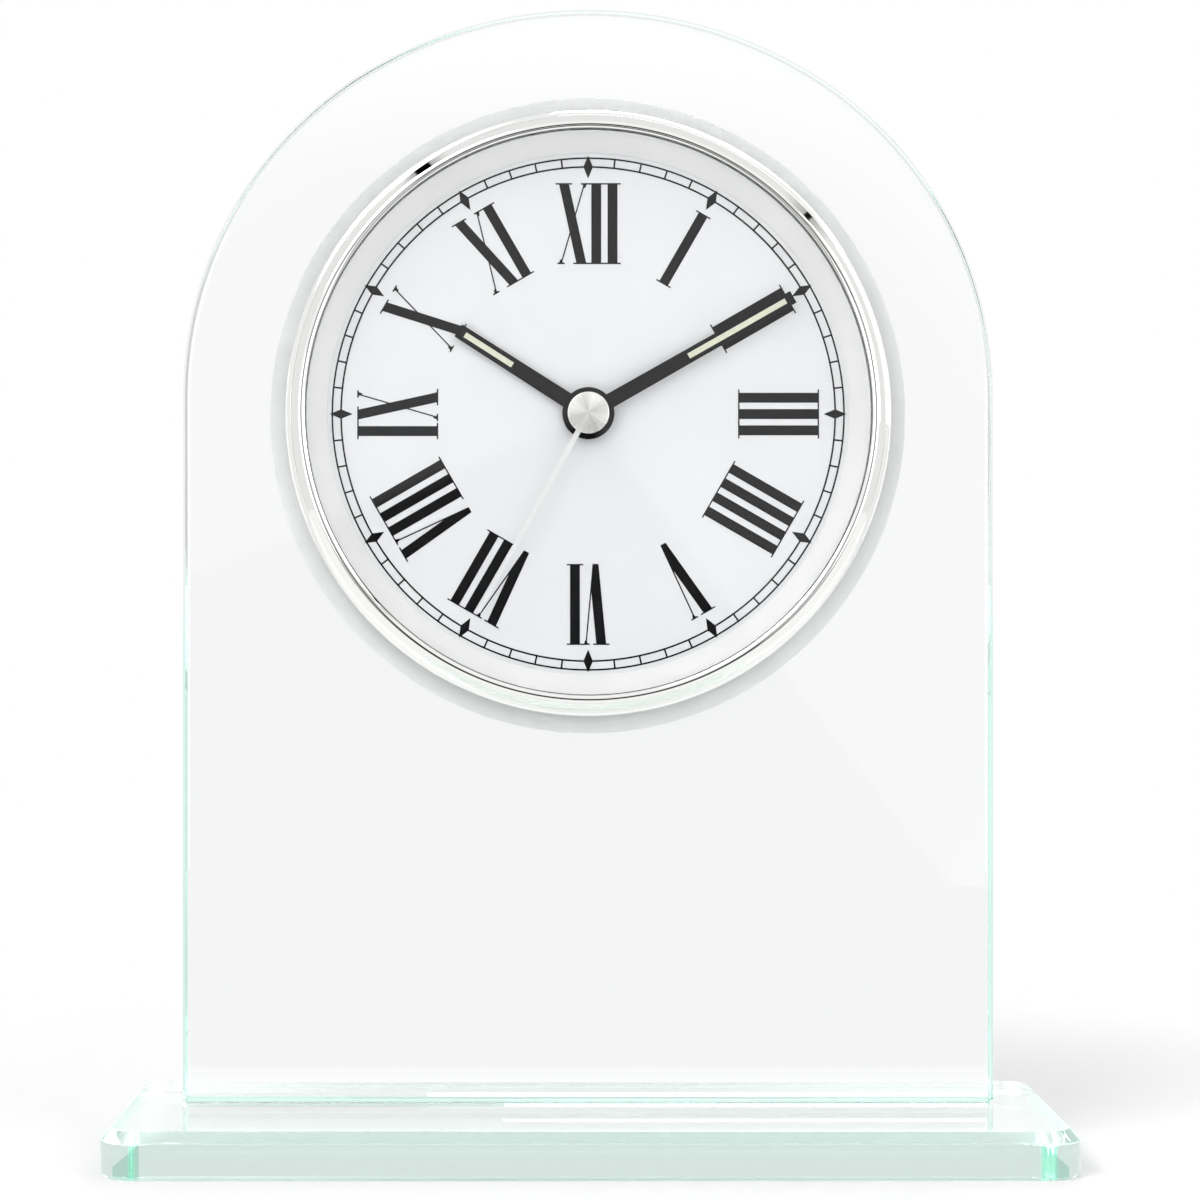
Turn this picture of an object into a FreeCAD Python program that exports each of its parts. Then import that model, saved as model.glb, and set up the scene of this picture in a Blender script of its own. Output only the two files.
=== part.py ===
import FreeCAD, Part
import math
import os

import Sketcher

# Arch-topped glass mantel clock. Millimetres, +Z up, the dial faces -Y.
# The origin is the middle of the underside of the glass base.

os.makedirs("parts", exist_ok=True)
doc = FreeCAD.newDocument("glass_mantel_clock")
sheet = doc.addObject("Spreadsheet::Sheet", "sizes")

SIZES = {
    # Glass base and pane
    "base_width": 165.0,
    "base_depth": 50.0,
    "base_height": 8.0,
    "base_corner_radius": 6.0,
    "base_bevel": 1.8,
    "base_arris": 0.5,
    "bond_thickness": 0.15,
    "bond_inset": 0.6,
    "pane_width": 143.0,
    "pane_thickness": 5.0,
    "pane_setback": 26.2,
    "pane_arris": 0.45,
    "dial_height": 129.5,
    "arch_rise": 71.5,
    "arch_crown_radius": 76.0,
    "arch_shoulder_radius": 67.0,
    "pane_hole_clearance": 0.4,
    # Bezel, crystal and the ring round the dial
    "bezel_projection": 7.0,
    "bezel_rim": 2.1,
    "bezel_lip_width": 0.8,
    "bezel_skirt_wall": 1.0,
    "bezel_foot_height": 1.6,
    "bezel_roll_radius": 6.2,
    "bezel_crest_width": 1.3,
    "bezel_crest_radius": 1.0,
    "bezel_lip_depth": 0.8,
    "bezel_lip_fall": 0.35,
    "crimp_width": 1.5,
    "crimp_thickness": 0.6,
    "seat_clearance": 0.1,
    "front_washer_thickness": 0.3,
    "washer_inset": 0.15,
    "crystal_margin": 22.0,
    "crystal_thickness": 1.5,
    "crystal_arris": 0.2,
    "hand_space": 4.5,
    "surround_width": 4.1,
    "surround_foot": 0.35,
    # Dial and its print
    "dial_thickness": 0.4,
    "print_thickness": 0.05,
    "track_margin": 0.85,
    "track_width": 1.55,
    "track_line": 0.3,
    "diamond_point": 0.45,
    "diamond_tail": 2.05,
    "diamond_width": 1.68,
    "numeral_gap": 2.85,
    "numeral_height": 14.25,
    "stem_width": 1.74,
    "stem_pitch": 2.87,
    "hairline": 0.24,
    "serif_thickness": 0.25,
    "serif_overhang": 0.58,
    "bracket_height": 0.85,
    "bracket_reach": 0.42,
    "vee_lean": 1.37,
    "vee_foot": 1.04,
    "vee_spread": 3.69,
    "vee_pitch": 4.64,
    "cross_lean": 3.13,
    "cross_hair_foot": 0.27,
    "cross_hair_head": 4.42,
    "cross_pitch": 5.72,
    "cross_serif": 0.65,
    # Dial carrier and rear housing
    "carrier_thickness": 1.6,
    "boss_clearance": 0.1,
    "screw_inset": 9.5,
    "screw_boss_radius": 3.2,
    "carrier_boss_height": 6.2,
    "screw_radius": 1.25,
    "screw_clearance": 0.2,
    "screw_head_radius": 2.5,
    "screw_head_height": 1.8,
    "screw_head_sink": 0.4,
    "screw_grip": 4.5,
    "slot_width": 0.6,
    "slot_depth": 0.8,
    "rear_washer_thickness": 0.3,
    "flange_lap": 4.9,
    "flange_thickness": 1.6,
    "spigot_wall": 1.3,
    "spigot_clearance": 0.3,
    "spigot_length": 2.2,
    "cup_step": 3.5,
    "cup_wall": 1.5,
    "cup_back_wall": 2.0,
    "cup_round": 2.5,
    # Battery and its door
    "battery_radius": 7.25,
    "battery_length": 49.5,
    "battery_nub_radius": 2.75,
    "battery_nub_length": 1.0,
    "battery_chamfer": 0.6,
    "bay_clearance": 0.2,
    "bay_top": 12.5,
    "door_margin": 1.25,
    "door_gap": 0.3,
    "door_lap": 1.0,
    "hinge_drop": 1.9,
    "hinge_pin_radius": 0.6,
    "hinge_pin_length": 1.4,
    "hinge_clearance": 0.06,
    "notch_radius": 6.0,
    "notch_depth": 0.8,
    "notch_width": 14.0,
    "rib_drop": 4.2,
    "rib_pitch": 1.4,
    "rib_width": 0.6,
    "rib_height": 0.5,
    "rib_length": 10.0,
    "contact_thickness": 0.3,
    "contact_height": 6.0,
    "contact_foot": 3.0,
    "contact_rise": 1.6,
    "contact_crown": 1.3,
    "contact_reach": 1.2,
    # Movement case
    "movement_gap": 0.3,
    "case_wall": 1.2,
    "bay_floor": 0.6,
    "case_fit": 0.1,
    "centre_boss_wall": 1.25,
    "centre_boss_length": 2.0,
    "lug_reach": 6.0,
    "lug_height": 8.0,
    "lug_thickness": 2.0,
    "lug_screw_rise": 6.0,
    "lug_screw_reach": 3.0,
    "small_screw_radius": 0.95,
    "small_head_radius": 1.9,
    "small_head_height": 1.4,
    "small_screw_fit": 0.05,
    "small_screw_tip_gap": 0.2,
    "pillar_radius": 1.8,
    "pillar_inset": 2.4,
    "deck_front": 4.3,
    "deck_thickness": 1.0,
    "post_radius": 1.3,
    "bridge_front": 11.2,
    "bridge_thickness": 0.8,
    "bridge_left": 21.5,
    "bridge_right": 23.0,
    "bridge_low": 10.5,
    "bridge_high": 15.5,
    "bridge_foot_x": 15.0,
    "bridge_foot_z": 4.0,
    "post_inset": 1.2,
    # Hands, arbors and running fits
    "running_fit": 0.05,
    "pivot_end_gap": 0.1,
    "pivot_depth": 0.8,
    "arbor_recess": 0.2,
    "seconds_arbor_radius": 0.6,
    "minute_tube_wall": 1.0,
    "hour_pipe_wall": 1.0,
    "hand_thickness": 0.4,
    "second_hand_thickness": 0.25,
    "hour_hand_lift": 0.9,
    "minute_hand_lift": 1.9,
    "second_hand_lift": 2.9,
    "arbor_stub": 0.25,
    "hour_hub_radius": 4.5,
    "minute_hub_radius": 4.56,
    "hour_hand_reach": 0.7,
    "hour_hand_root": 2.7,
    "hour_hand_tip": 2.5,
    "minute_hand_gap": 2.2,
    "minute_hand_root": 2.6,
    "minute_hand_tip": 2.3,
    "hour_paste_margin": 1.4,
    "hour_paste_length": 9.9,
    "minute_paste_margin": 1.5,
    "minute_paste_length": 19.6,
    "paste_width": 0.98,
    "second_hub_radius": 2.2,
    "second_hand_gap": 3.7,
    "second_hand_root": 1.0,
    "second_hand_tip": 0.7,
    "second_taper_length": 13.8,
    "cap_radius": 3.65,
    "cap_height": 0.75,
    "cap_round": 0.3,
    "cap_dome": 0.12,
    # Wheel train: levels are measured back from the front of the movement
    "motion_module": 0.5,
    "third_module": 0.27,
    "centre_module": 0.255,
    "seconds_module": 0.32,
    "rotor_module": 0.25,
    "wheel_thickness": 0.8,
    "motion_thickness": 1.0,
    "pinion_overlap": 0.1,
    "hour_wheel_level": 1.5,
    "motion_wheel_level": 2.9,
    "centre_wheel_level": 5.6,
    "third_wheel_level": 7.5,
    "seconds_wheel_level": 8.8,
    "step_wheel_level": 10.0,
    "motion_arbor_radius": 0.6,
    "train_arbor_radius": 0.45,
    "setting_shaft_radius": 1.0,
    "collar_radius": 2.2,
    "collar_height": 0.4,
    "clutch_radius": 3.2,
    "clutch_thickness": 0.2,
    "magnet_radius": 2.2,
    "magnet_length": 1.8,
    "magnet_level": 7.8,
    # Setting knob
    "knob_radius": 6.5,
    "knob_gap": 0.3,
    "knob_height": 3.4,
    "knob_round": 0.5,
    "knob_groove_radius": 0.45,
    "knob_hole_clearance": 0.6,
    # Motor, coil and circuit
    "stator_level": 8.3,
    "stator_thickness": 1.0,
    "core_thickness": 1.0,
    "stator_left": 7.2,
    "stator_right": 25.0,
    "stator_margin": 1.8,
    "stator_low": 7.2,
    "stator_bar_top": 14.2,
    "stator_top": 24.0,
    "stator_limb_width": 2.6,
    "rotor_gap": 0.5,
    "core_low": 20.5,
    "core_high": 23.5,
    "bobbin_end_gap": 0.25,
    "bobbin_flange": 0.8,
    "bobbin_flange_radius": 3.5,
    "bobbin_tube_radius": 2.1,
    "bobbin_fit": 0.06,
    "winding_radius": 3.2,
    "board_left": 6.0,
    "board_right": 20.0,
    "board_low": 9.0,
    "board_high": 14.0,
    "board_thickness": 0.7,
    "can_radius": 0.75,
    "can_length": 5.0,
    "can_x": 13.0,
    "can_z": 10.5,
    "chip_radius": 2.6,
    "chip_height": 0.9,
    "chip_x": 8.0,
    "chip_z": 2.5,
    # One overrun for every cut
    "overrun": 1.0,
}

HOUR_ANGLE = 302.6
MINUTE_ANGLE = 60.4
SECOND_ANGLE = 208.9

for row, (name, value) in enumerate(SIZES.items(), start=1):
    sheet.set("A%d" % row, name)
    sheet.set("B%d" % row, str(value))
    sheet.setAlias("B%d" % row, name)
doc.recompute()


class Size:
    """A length together with the sheet expression that gives it."""

    def __init__(self, value, text):
        self.value = value
        self.text = text

    def __add__(self, other):
        other = term(other)
        return Size(self.value + other.value, "(%s + %s)" % (self.text, other.text))

    def __sub__(self, other):
        other = term(other)
        return Size(self.value - other.value, "(%s - %s)" % (self.text, other.text))

    def __mul__(self, factor):
        factor = term(factor)
        return Size(self.value * factor.value, "(%s * %s)" % (self.text, factor.text))

    def __truediv__(self, divisor):
        divisor = term(divisor)
        return Size(self.value / divisor.value, "(%s / %s)" % (self.text, divisor.text))

    def __neg__(self):
        return Size(-self.value, "(-1 * %s)" % self.text)


def term(number):
    """A plain number as a Size, so that the two can be mixed in a sum."""
    if isinstance(number, Size):
        return number
    return Size(float(number), repr(float(number)))


def root(square):
    return Size(math.sqrt(square.value), "sqrt(%s)" % square.text)


def largest(one, other):
    return Size(max(one.value, other.value), "max(%s; %s)" % (one.text, other.text))


class Sizes:
    """Reads a size from the sheet by its alias."""

    def __getattr__(self, name):
        return Size(float(sheet.get(name)), "sizes." + name)


s = Sizes()
NODES = []


# Builders

def vec(x, y, z):
    return FreeCAD.Vector(term(x).value, term(y).value, term(z).value)


def keep(item, label):
    """Marks an object as a finished sub-part, which is written out under its label."""
    item.Label = label
    NODES.append(item)
    return item


def bind(item, prop, size):
    size = term(size)
    setattr(item, prop, size.value)
    item.setExpression(prop, size.text)


def place(item, x, y, z, rotation=None):
    item.Placement = FreeCAD.Placement(vec(x, y, z), rotation or FreeCAD.Rotation())
    for axis, size in zip("xyz", (x, y, z)):
        item.setExpression(".Placement.Base." + axis, term(size).text)
    return item


def clockwise(degrees):
    """A turn about the depth axis, clockwise as seen from the front."""
    return FreeCAD.Rotation(FreeCAD.Vector(0, 1, 0), degrees)


ALONG_Y = FreeCAD.Rotation(FreeCAD.Vector(1, 0, 0), -90)
ALONG_X = FreeCAD.Rotation(FreeCAD.Vector(0, 1, 0), 90)


def rod(name, x, z, radius, front, back):
    """Cylinder along the depth, from front to back."""
    item = doc.addObject("Part::Cylinder", name)
    bind(item, "Radius", radius)
    bind(item, "Height", back - front)
    return place(item, x, front, z, ALONG_Y)


def bar(name, y, z, radius, left, right):
    """Cylinder along the width, from left to right."""
    item = doc.addObject("Part::Cylinder", name)
    bind(item, "Radius", radius)
    bind(item, "Height", right - left)
    return place(item, left, y, z, ALONG_X)


def block(name, x, y, z):
    """Box from three pairs of limits."""
    item = doc.addObject("Part::Box", name)
    bind(item, "Length", x[1] - x[0])
    bind(item, "Width", y[1] - y[0])
    bind(item, "Height", z[1] - z[0])
    return place(item, x[0], y[0], z[0])


def join(name, items):
    item = doc.addObject("Part::MultiFuse", name)
    item.Shapes = items
    item.Refine = True
    return item


def cut(name, base, tools):
    item = doc.addObject("Part::Cut", name)
    item.Base = base
    item.Tool = tools[0] if len(tools) == 1 else join(name + "_tools", tools)
    item.Refine = True
    return item


def new_body(name):
    return doc.addObject("PartDesign::Body", name + "_body")


def new_sketch(body, role, name):
    plane = [item for item in body.Origin.OriginFeatures if item.Role == role][0]
    sketch = body.newObject("Sketcher::SketchObject", name)
    sketch.AttachmentSupport = (plane, [""])
    sketch.MapMode = "FlatFace"
    return sketch


def fix(sketch, kind, geometry, size, name):
    """Adds a named constraint that reads its value from the sheet."""
    size = term(size)
    index = sketch.addConstraint(Sketcher.Constraint(kind, *geometry, size.value))
    sketch.renameConstraint(index, name)
    sketch.setExpression("Constraints." + name, size.text)


def arc_centre(start, end, radius):
    """Centre of the arc of the given radius; a positive radius turns left from start to end."""
    chord = end - start
    half = chord.Length / 2
    rise = math.sqrt(max(radius ** 2 - half ** 2, 0))
    side = FreeCAD.Vector(-chord.y, chord.x, 0).normalize()
    return (start + end) / 2 + side * math.copysign(rise, radius)


def outline(sketch, points, arcs=None, tag="p"):
    """Closed outline. points are pairs of sizes; arcs gives some sides, by number, a radius,
    positive where the side turns left on its way and negative where it turns right."""
    arcs = arcs or {}
    spots = [vec(x, y, 0) for x, y in points]
    count = len(points)
    sides = []
    for k in range(count):
        start, end = spots[k], spots[(k + 1) % count]
        if k not in arcs:
            sides.append((sketch.addGeometry(Part.LineSegment(start, end)), 1, 2))
            continue
        radius = arcs[k].value
        centre = arc_centre(start, end, radius)
        first, last = (start, end) if radius > 0 else (end, start)
        circle = Part.Circle(centre, FreeCAD.Vector(0, 0, 1), abs(radius))
        begin = math.atan2(first.y - centre.y, first.x - centre.x)
        finish = math.atan2(last.y - centre.y, last.x - centre.x)
        index = sketch.addGeometry(Part.ArcOfCircle(circle, begin, finish))
        sides.append((index, 1, 2) if radius > 0 else (index, 2, 1))
    for k in range(count):
        index, head, _ = sides[k]
        before, _, tail = sides[k - 1]
        sketch.addConstraint(Sketcher.Constraint("Coincident", before, tail, index, head))
        for kind, axis, size in (("DistanceX", -2, points[k][0]), ("DistanceY", -1, points[k][1])):
            if term(size).value == 0:
                sketch.addConstraint(Sketcher.Constraint("PointOnObject", index, head, axis))
            else:
                fix(sketch, kind, (-1, 1, index, head), size, "%s%d%s" % (tag, k, kind[-1].lower()))
        if k in arcs:
            size = arcs[k] if arcs[k].value > 0 else -arcs[k]
            fix(sketch, "Radius", (index,), size, "%s%dr" % (tag, k))


def ring(sketch, x, y, radius, tag):
    """Full circle in a sketch."""
    circle = Part.Circle(vec(x, y, 0), FreeCAD.Vector(0, 0, 1), term(radius).value)
    index = sketch.addGeometry(circle)
    for kind, axis, size in (("DistanceX", -2, x), ("DistanceY", -1, y)):
        if term(size).value == 0:
            sketch.addConstraint(Sketcher.Constraint("PointOnObject", index, 3, axis))
        else:
            fix(sketch, kind, (-1, 1, index, 3), size, tag + kind[-1].lower())
    fix(sketch, "Radius", (index,), radius, tag + "r")


def turned(label, points, arcs=None, x=0, z=0, y=0, axis="V_Axis"):
    """Solid turned about the depth axis, from points (radius, y); or, about H_Axis, from points
    (x, radius). x and z are measured from the dial's centre."""
    body = new_body(label)
    sketch = new_sketch(body, "XY_Plane", label + "_profile")
    outline(sketch, points, arcs)
    turn = body.newObject("PartDesign::Revolution", label + "_turn")
    turn.Profile = sketch
    turn.ReferenceAxis = (sketch, [axis])
    turn.Angle = 360
    return place(body, x, y, s.dial_height + z)


def washer(label, inner, outer, front, back):
    return turned(label, [(inner, front), (outer, front), (outer, back), (inner, back)])


def edges_where(shape, test):
    """Names of the edges whose bounding box passes the test."""
    return ["Edge%d" % (k + 1) for k, edge in enumerate(shape.Edges) if test(edge.BoundBox)]


TOUCH = 1e-6


def solid_feature(label, shape, x, y, z):
    item = doc.addObject("Part::Feature", label + "_solid")
    item.Shape = shape
    return keep(place(item, x, y, z), label)


# Size of the movement, which has to hold both the battery and the wheel train

battery_half = (s.battery_length + s.battery_nub_length) / 2
battery_room = battery_half + s.running_fit + s.contact_thickness + s.contact_reach
cavity_half = largest(battery_room, s.stator_right + s.stator_margin)
movement_half = cavity_half + s.case_wall
battery_stack = s.bay_floor + (s.bay_clearance + s.battery_radius) * 2
board_level = s.bridge_front + s.bridge_thickness + s.board_thickness
train_stack = board_level + s.can_radius * 2 + s.pivot_end_gap + s.case_wall
movement_depth = largest(battery_stack, train_stack)

# Radii, from the crystal outwards and then inwards

crystal_radius = movement_half + s.crystal_margin
skirt_inner = crystal_radius + s.seat_clearance
skirt_outer = skirt_inner + s.bezel_skirt_wall
bezel_radius = skirt_outer + s.bezel_rim
bezel_opening = crystal_radius - s.bezel_lip_width
pane_hole_radius = skirt_outer + s.pane_hole_clearance
rear_flange_radius = pane_hole_radius + s.flange_lap
cup_radius = pane_hole_radius - s.cup_step
cup_inner = cup_radius - s.cup_wall
screw_circle_radius = cup_inner - s.screw_inset
dial_opening = crystal_radius - s.surround_width
track_outer_radius = dial_opening - s.track_margin
track_inner_radius = track_outer_radius - s.track_width
numeral_foot_radius = track_inner_radius - s.numeral_gap - s.numeral_height
hour_hand_length = numeral_foot_radius + s.hour_hand_reach
minute_hand_length = track_inner_radius - s.minute_hand_gap
second_hand_length = track_inner_radius - s.second_hand_gap

# Places along the depth, from the front face of the pane

pane_front = s.pane_setback - s.base_depth / 2
bezel_foot = pane_front - s.front_washer_thickness
pane_back = pane_front + s.pane_thickness
crest = pane_front - s.bezel_projection
crystal_front = crest + s.bezel_lip_depth
crystal_back = crystal_front + s.crystal_thickness
dial_front = crystal_back + s.hand_space
dial_back = dial_front + s.dial_thickness
carrier_back = dial_back + s.carrier_thickness
movement_front = carrier_back
movement_back = movement_front + movement_depth
cup_inside = movement_back + s.movement_gap
cup_back = cup_inside + s.cup_back_wall
knob_front = cup_back + s.knob_gap
knob_back = knob_front + s.knob_height
cover_front = movement_back - s.case_wall
tray_floor = movement_front + s.case_wall

# Radii of the arbors and pipes on the dial's centre, from the inside out

minute_bore = s.seconds_arbor_radius + s.running_fit
minute_tube = minute_bore + s.minute_tube_wall
hour_bore = minute_tube + s.running_fit
hour_pipe = hour_bore + s.hour_pipe_wall
boss_bore = hour_pipe + s.running_fit
boss_radius = boss_bore + s.centre_boss_wall
boss_hole = boss_radius + s.boss_clearance


# Glass base and pane

def base_block():
    """Bevelled glass block with rounded upright corners."""
    body = new_body("base_block")
    sketch = new_sketch(body, "XY_Plane", "base_plan")
    right = s.base_width / 2
    rear = s.base_depth / 2
    outline(sketch, [(-right, -rear), (right, -rear), (right, rear), (-right, rear)])
    pad = body.newObject("PartDesign::Pad", "base_pad")
    pad.Profile = sketch
    bind(pad, "Length", s.base_height)
    doc.recompute()
    corners = body.newObject("PartDesign::Fillet", "base_corners")
    corners.Base = (pad, edges_where(pad.Shape, lambda box: box.ZLength > TOUCH))
    bind(corners, "Radius", s.base_corner_radius)
    doc.recompute()
    top = s.base_height.value
    bevel = body.newObject("PartDesign::Chamfer", "base_bevel_cut")
    bevel.Base = (corners, edges_where(corners.Shape, lambda box: box.ZMin > top - TOUCH))
    bind(bevel, "Size", s.base_bevel)
    doc.recompute()
    arris = body.newObject("PartDesign::Chamfer", "base_arris_cut")
    arris.Base = (bevel, edges_where(bevel.Shape, lambda box: box.ZMax < TOUCH))
    bind(arris, "Size", s.base_arris)
    keep(body, "base_block")


def glass_pane():
    """Upright pane with a three-centred arch and the hole for the clock."""
    body = new_body("glass_pane")
    sketch = new_sketch(body, "XZ_Plane", "pane_outline")
    side = s.pane_width / 2
    foot = s.base_height + s.bond_thickness
    shoulder_x = side - s.arch_shoulder_radius
    crown_drop = s.arch_crown_radius - s.arch_rise
    step = s.arch_crown_radius - s.arch_shoulder_radius
    shoulder_rise = root(step * step - shoulder_x * shoulder_x) - crown_drop
    spring = s.dial_height + shoulder_rise
    joint_x = s.arch_crown_radius * shoulder_x / step
    joint_z = s.dial_height - crown_drop + s.arch_crown_radius * (shoulder_rise + crown_drop) / step
    points = [(-side, foot), (side, foot), (side, spring), (joint_x, joint_z)]
    points += [(-joint_x, joint_z), (-side, spring)]
    arcs = {2: s.arch_shoulder_radius, 3: s.arch_crown_radius, 4: s.arch_shoulder_radius}
    outline(sketch, points, arcs)
    ring(sketch, 0, s.dial_height, pane_hole_radius, "hole")
    pad = body.newObject("PartDesign::Pad", "pane_pad")
    pad.Profile = sketch
    pad.Reversed = True
    bind(pad, "Length", s.pane_thickness)
    doc.recompute()
    arris = body.newObject("PartDesign::Chamfer", "pane_arris_cut")
    arris.Base = (pad, edges_where(pad.Shape, lambda box: box.YLength < TOUCH))
    bind(arris, "Size", s.pane_arris)
    place(body, 0, pane_front, 0)
    keep(body, "glass_pane")


def bond_film():
    """Clear cement between the pane's foot and the base."""
    half = s.pane_width / 2 - s.bond_inset
    y = (pane_front + s.bond_inset, pane_back - s.bond_inset)
    film = block("bond_film_box", (-half, half), y, (s.base_height, s.base_height + s.bond_thickness))
    keep(film, "bond_film")


# Front of the clock

def bezel():
    """Chromed ring: rolled front, lip over the crystal, and a skirt crimped behind the carrier."""
    roll_start = bezel_foot - s.bezel_foot_height
    crest_radius = bezel_opening + s.bezel_crest_width
    crimp_inner = skirt_inner - s.crimp_width
    crimp_back = carrier_back + s.crimp_thickness
    points = [
        (bezel_opening, crest + s.bezel_lip_fall),
        (bezel_opening, crystal_front),
        (skirt_inner, crystal_front),
        (skirt_inner, carrier_back),
        (crimp_inner, carrier_back),
        (crimp_inner, crimp_back),
        (skirt_outer, crimp_back),
        (skirt_outer, bezel_foot),
        (bezel_radius, bezel_foot),
        (bezel_radius, roll_start),
        (crest_radius, crest),
    ]
    keep(turned("bezel", points, {9: -s.bezel_roll_radius, 10: -s.bezel_crest_radius}), "bezel")


def crystal():
    """Flat glass with a small polished arris at its front."""
    edge = crystal_radius - s.crystal_arris
    points = [
        (0, crystal_front),
        (edge, crystal_front),
        (crystal_radius, crystal_front + s.crystal_arris),
        (crystal_radius, crystal_back),
        (0, crystal_back),
    ]
    keep(turned("crystal", points), "crystal")


def dial_surround():
    """Sloping ring that spaces the crystal from the dial."""
    points = [
        (bezel_opening, crystal_back),
        (crystal_radius, crystal_back),
        (crystal_radius, dial_front),
        (dial_opening, dial_front),
        (dial_opening, dial_front - s.surround_foot),
    ]
    keep(turned("dial_surround", points), "dial_surround")


def front_washer():
    inner = skirt_outer + s.washer_inset
    outer = bezel_radius - s.washer_inset
    keep(washer("front_washer", inner, outer, bezel_foot, pane_front), "front_washer")


def dial():
    keep(washer("dial", boss_hole, crystal_radius, dial_front, dial_back), "dial")


# Print on the dial, as thin raised ink: shapes are drawn flat and then given the ink's thickness

def flat_face(points):
    spots = [FreeCAD.Vector(x, 0, z) for x, z in points]
    return Part.Face(Part.makePolygon(spots + spots[:1]))


def thick_ink(faces):
    """Gives flat shapes the ink's thickness and joins them."""
    solids = [face.extrude(vec(0, s.print_thickness, 0)) for face in faces]
    return solids[0].multiFuse(solids[1:]).removeSplitter()


def ink(label, shape):
    solid_feature(label, shape, 0, dial_front - s.print_thickness, s.dial_height)


def flat_ring(outer, inner):
    normal = FreeCAD.Vector(0, 1, 0)
    loops = [Part.Wire(Part.Circle(FreeCAD.Vector(), normal, r).toShape()) for r in (outer, inner)]
    return Part.Face(loops[0]).cut(Part.Face(loops[1]))


def about_centre(shape, degrees):
    return shape.rotated(FreeCAD.Vector(), FreeCAD.Vector(0, 1, 0), degrees)


def minute_track():
    """Two thin circles joined by a tick at each minute, with a diamond at each hour."""
    half = s.track_line.value / 2
    outer, inner = track_outer_radius.value, track_inner_radius.value
    faces = [flat_ring(outer + half, outer - half), flat_ring(inner + half, inner - half)]
    tick = flat_face([(-half, inner), (half, inner), (half, outer), (-half, outer)])
    wide = s.diamond_width.value / 2
    high, low = outer + s.diamond_point.value, inner - s.diamond_tail.value
    diamond = flat_face([(0, low), (wide, inner), (0, high), (-wide, inner)])
    for minute in range(60):
        mark = tick if minute % 5 else diamond
        faces.append(about_centre(mark, minute * 360 / 60))
    ink("minute_track", thick_ink(faces))


def serif(left, right, at_head):
    """Thin line across the foot or the head of a letter."""
    thick, high = s.serif_thickness.value, s.numeral_height.value
    low = high - thick if at_head else 0
    return flat_face([(left, low), (right, low), (right, low + thick), (left, low + thick)])


def bracket(x, at_head):
    """Flare where a hairline meets its serif."""
    high, reach = s.bracket_height.value, s.bracket_reach.value
    top, half = s.numeral_height.value, s.hairline.value / 2
    low, edge = s.serif_thickness.value / 2, s.serif_thickness.value + half
    points = [(-reach, low), (reach, low), (half + half, edge + half), (half, high)]
    points += [(-half, high), (-half - half, edge + half)]
    if at_head:
        points = [(dx, top - z) for dx, z in points]
    return flat_face([(x + dx, z) for dx, z in points])


def letter_i(x):
    wide, over, high = s.stem_width.value, s.serif_overhang.value, s.numeral_height.value
    stem = flat_face([(x, 0), (x + wide, 0), (x + wide, high), (x, high)])
    lines = [serif(x - over, x + wide + over, at_head) for at_head in (False, True)]
    return [stem] + lines, s.stem_pitch.value


def letter_v(x):
    wide, high, thin = s.stem_width.value, s.numeral_height.value, s.hairline.value
    lean, foot, spread = s.vee_lean.value, s.vee_foot.value, s.vee_spread.value
    over = s.serif_overhang.value
    stem = flat_face([(x, high), (x + lean, 0), (x + lean + wide, 0), (x + wide, high)])
    foot_right = x + lean + foot
    limit = flat_face([(x, 0), (foot_right, 0), (x + spread, high), (x, high)])
    head_right = x + spread
    head_left = head_right - thin
    hair = flat_face([(foot_right - thin, 0), (foot_right, 0), (head_right, high), (head_left, high)])
    hair_top = x + spread - thin / 2
    reach = over + thin / 2
    lines = [serif(x - over, x + wide + over, True), serif(hair_top - reach, hair_top + reach, True)]
    return [stem.common(limit), hair, bracket(hair_top, True)] + lines, s.vee_pitch.value


def letter_x(x):
    wide, high, thin = s.stem_width.value, s.numeral_height.value, s.hairline.value
    lean, over, half = s.cross_lean.value, s.serif_overhang.value, s.cross_serif.value
    foot, head = x + s.cross_hair_foot.value, x + s.cross_hair_head.value
    stem = flat_face([(x + lean, 0), (x + lean + wide, 0), (x + wide, high), (x, high)])
    hair = flat_face([(foot, 0), (foot + thin, 0), (head + thin, high), (head, high)])
    near, far = foot + thin / 2, head + thin / 2
    lines = [serif(x - over, x + wide + over, True), serif(x + lean - over, x + lean + wide + over, False)]
    lines += [serif(near - half, near + half, False), serif(far - half, far + half, True)]
    return [stem, hair, bracket(near, False), bracket(far, True)] + lines, s.cross_pitch.value


LETTERS = {"I": letter_i, "V": letter_v, "X": letter_x}
NUMERALS = ["XII", "I", "II", "III", "IIII", "V", "VI", "VII", "VIII", "IX", "X", "XI"]


def hour_numerals():
    """Roman numerals with their feet towards the centre."""
    words = []
    for hour, text in enumerate(NUMERALS):
        x, strokes = 0.0, []
        for letter in text:
            pieces, pitch = LETTERS[letter](x)
            strokes += pieces
            x += pitch
        word = thick_ink(strokes)
        middle = (word.BoundBox.XMin + word.BoundBox.XMax) / 2
        word.translate(vec(-middle, 0, numeral_foot_radius))
        words += about_centre(word, hour * 360 / len(NUMERALS)).Solids
    ink("hour_numerals", Part.makeCompound(words))


# Wheels: toothed discs drawn flat and given a thickness along the depth

TOOTH_ROOT_SHARE = 0.62
TOOTH_PITCH_SHARE = 0.40
TOOTH_TIP_SHARE = 0.17
ADDENDUM_SHARE = 0.95
DEDENDUM_SHARE = 1.2


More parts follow.
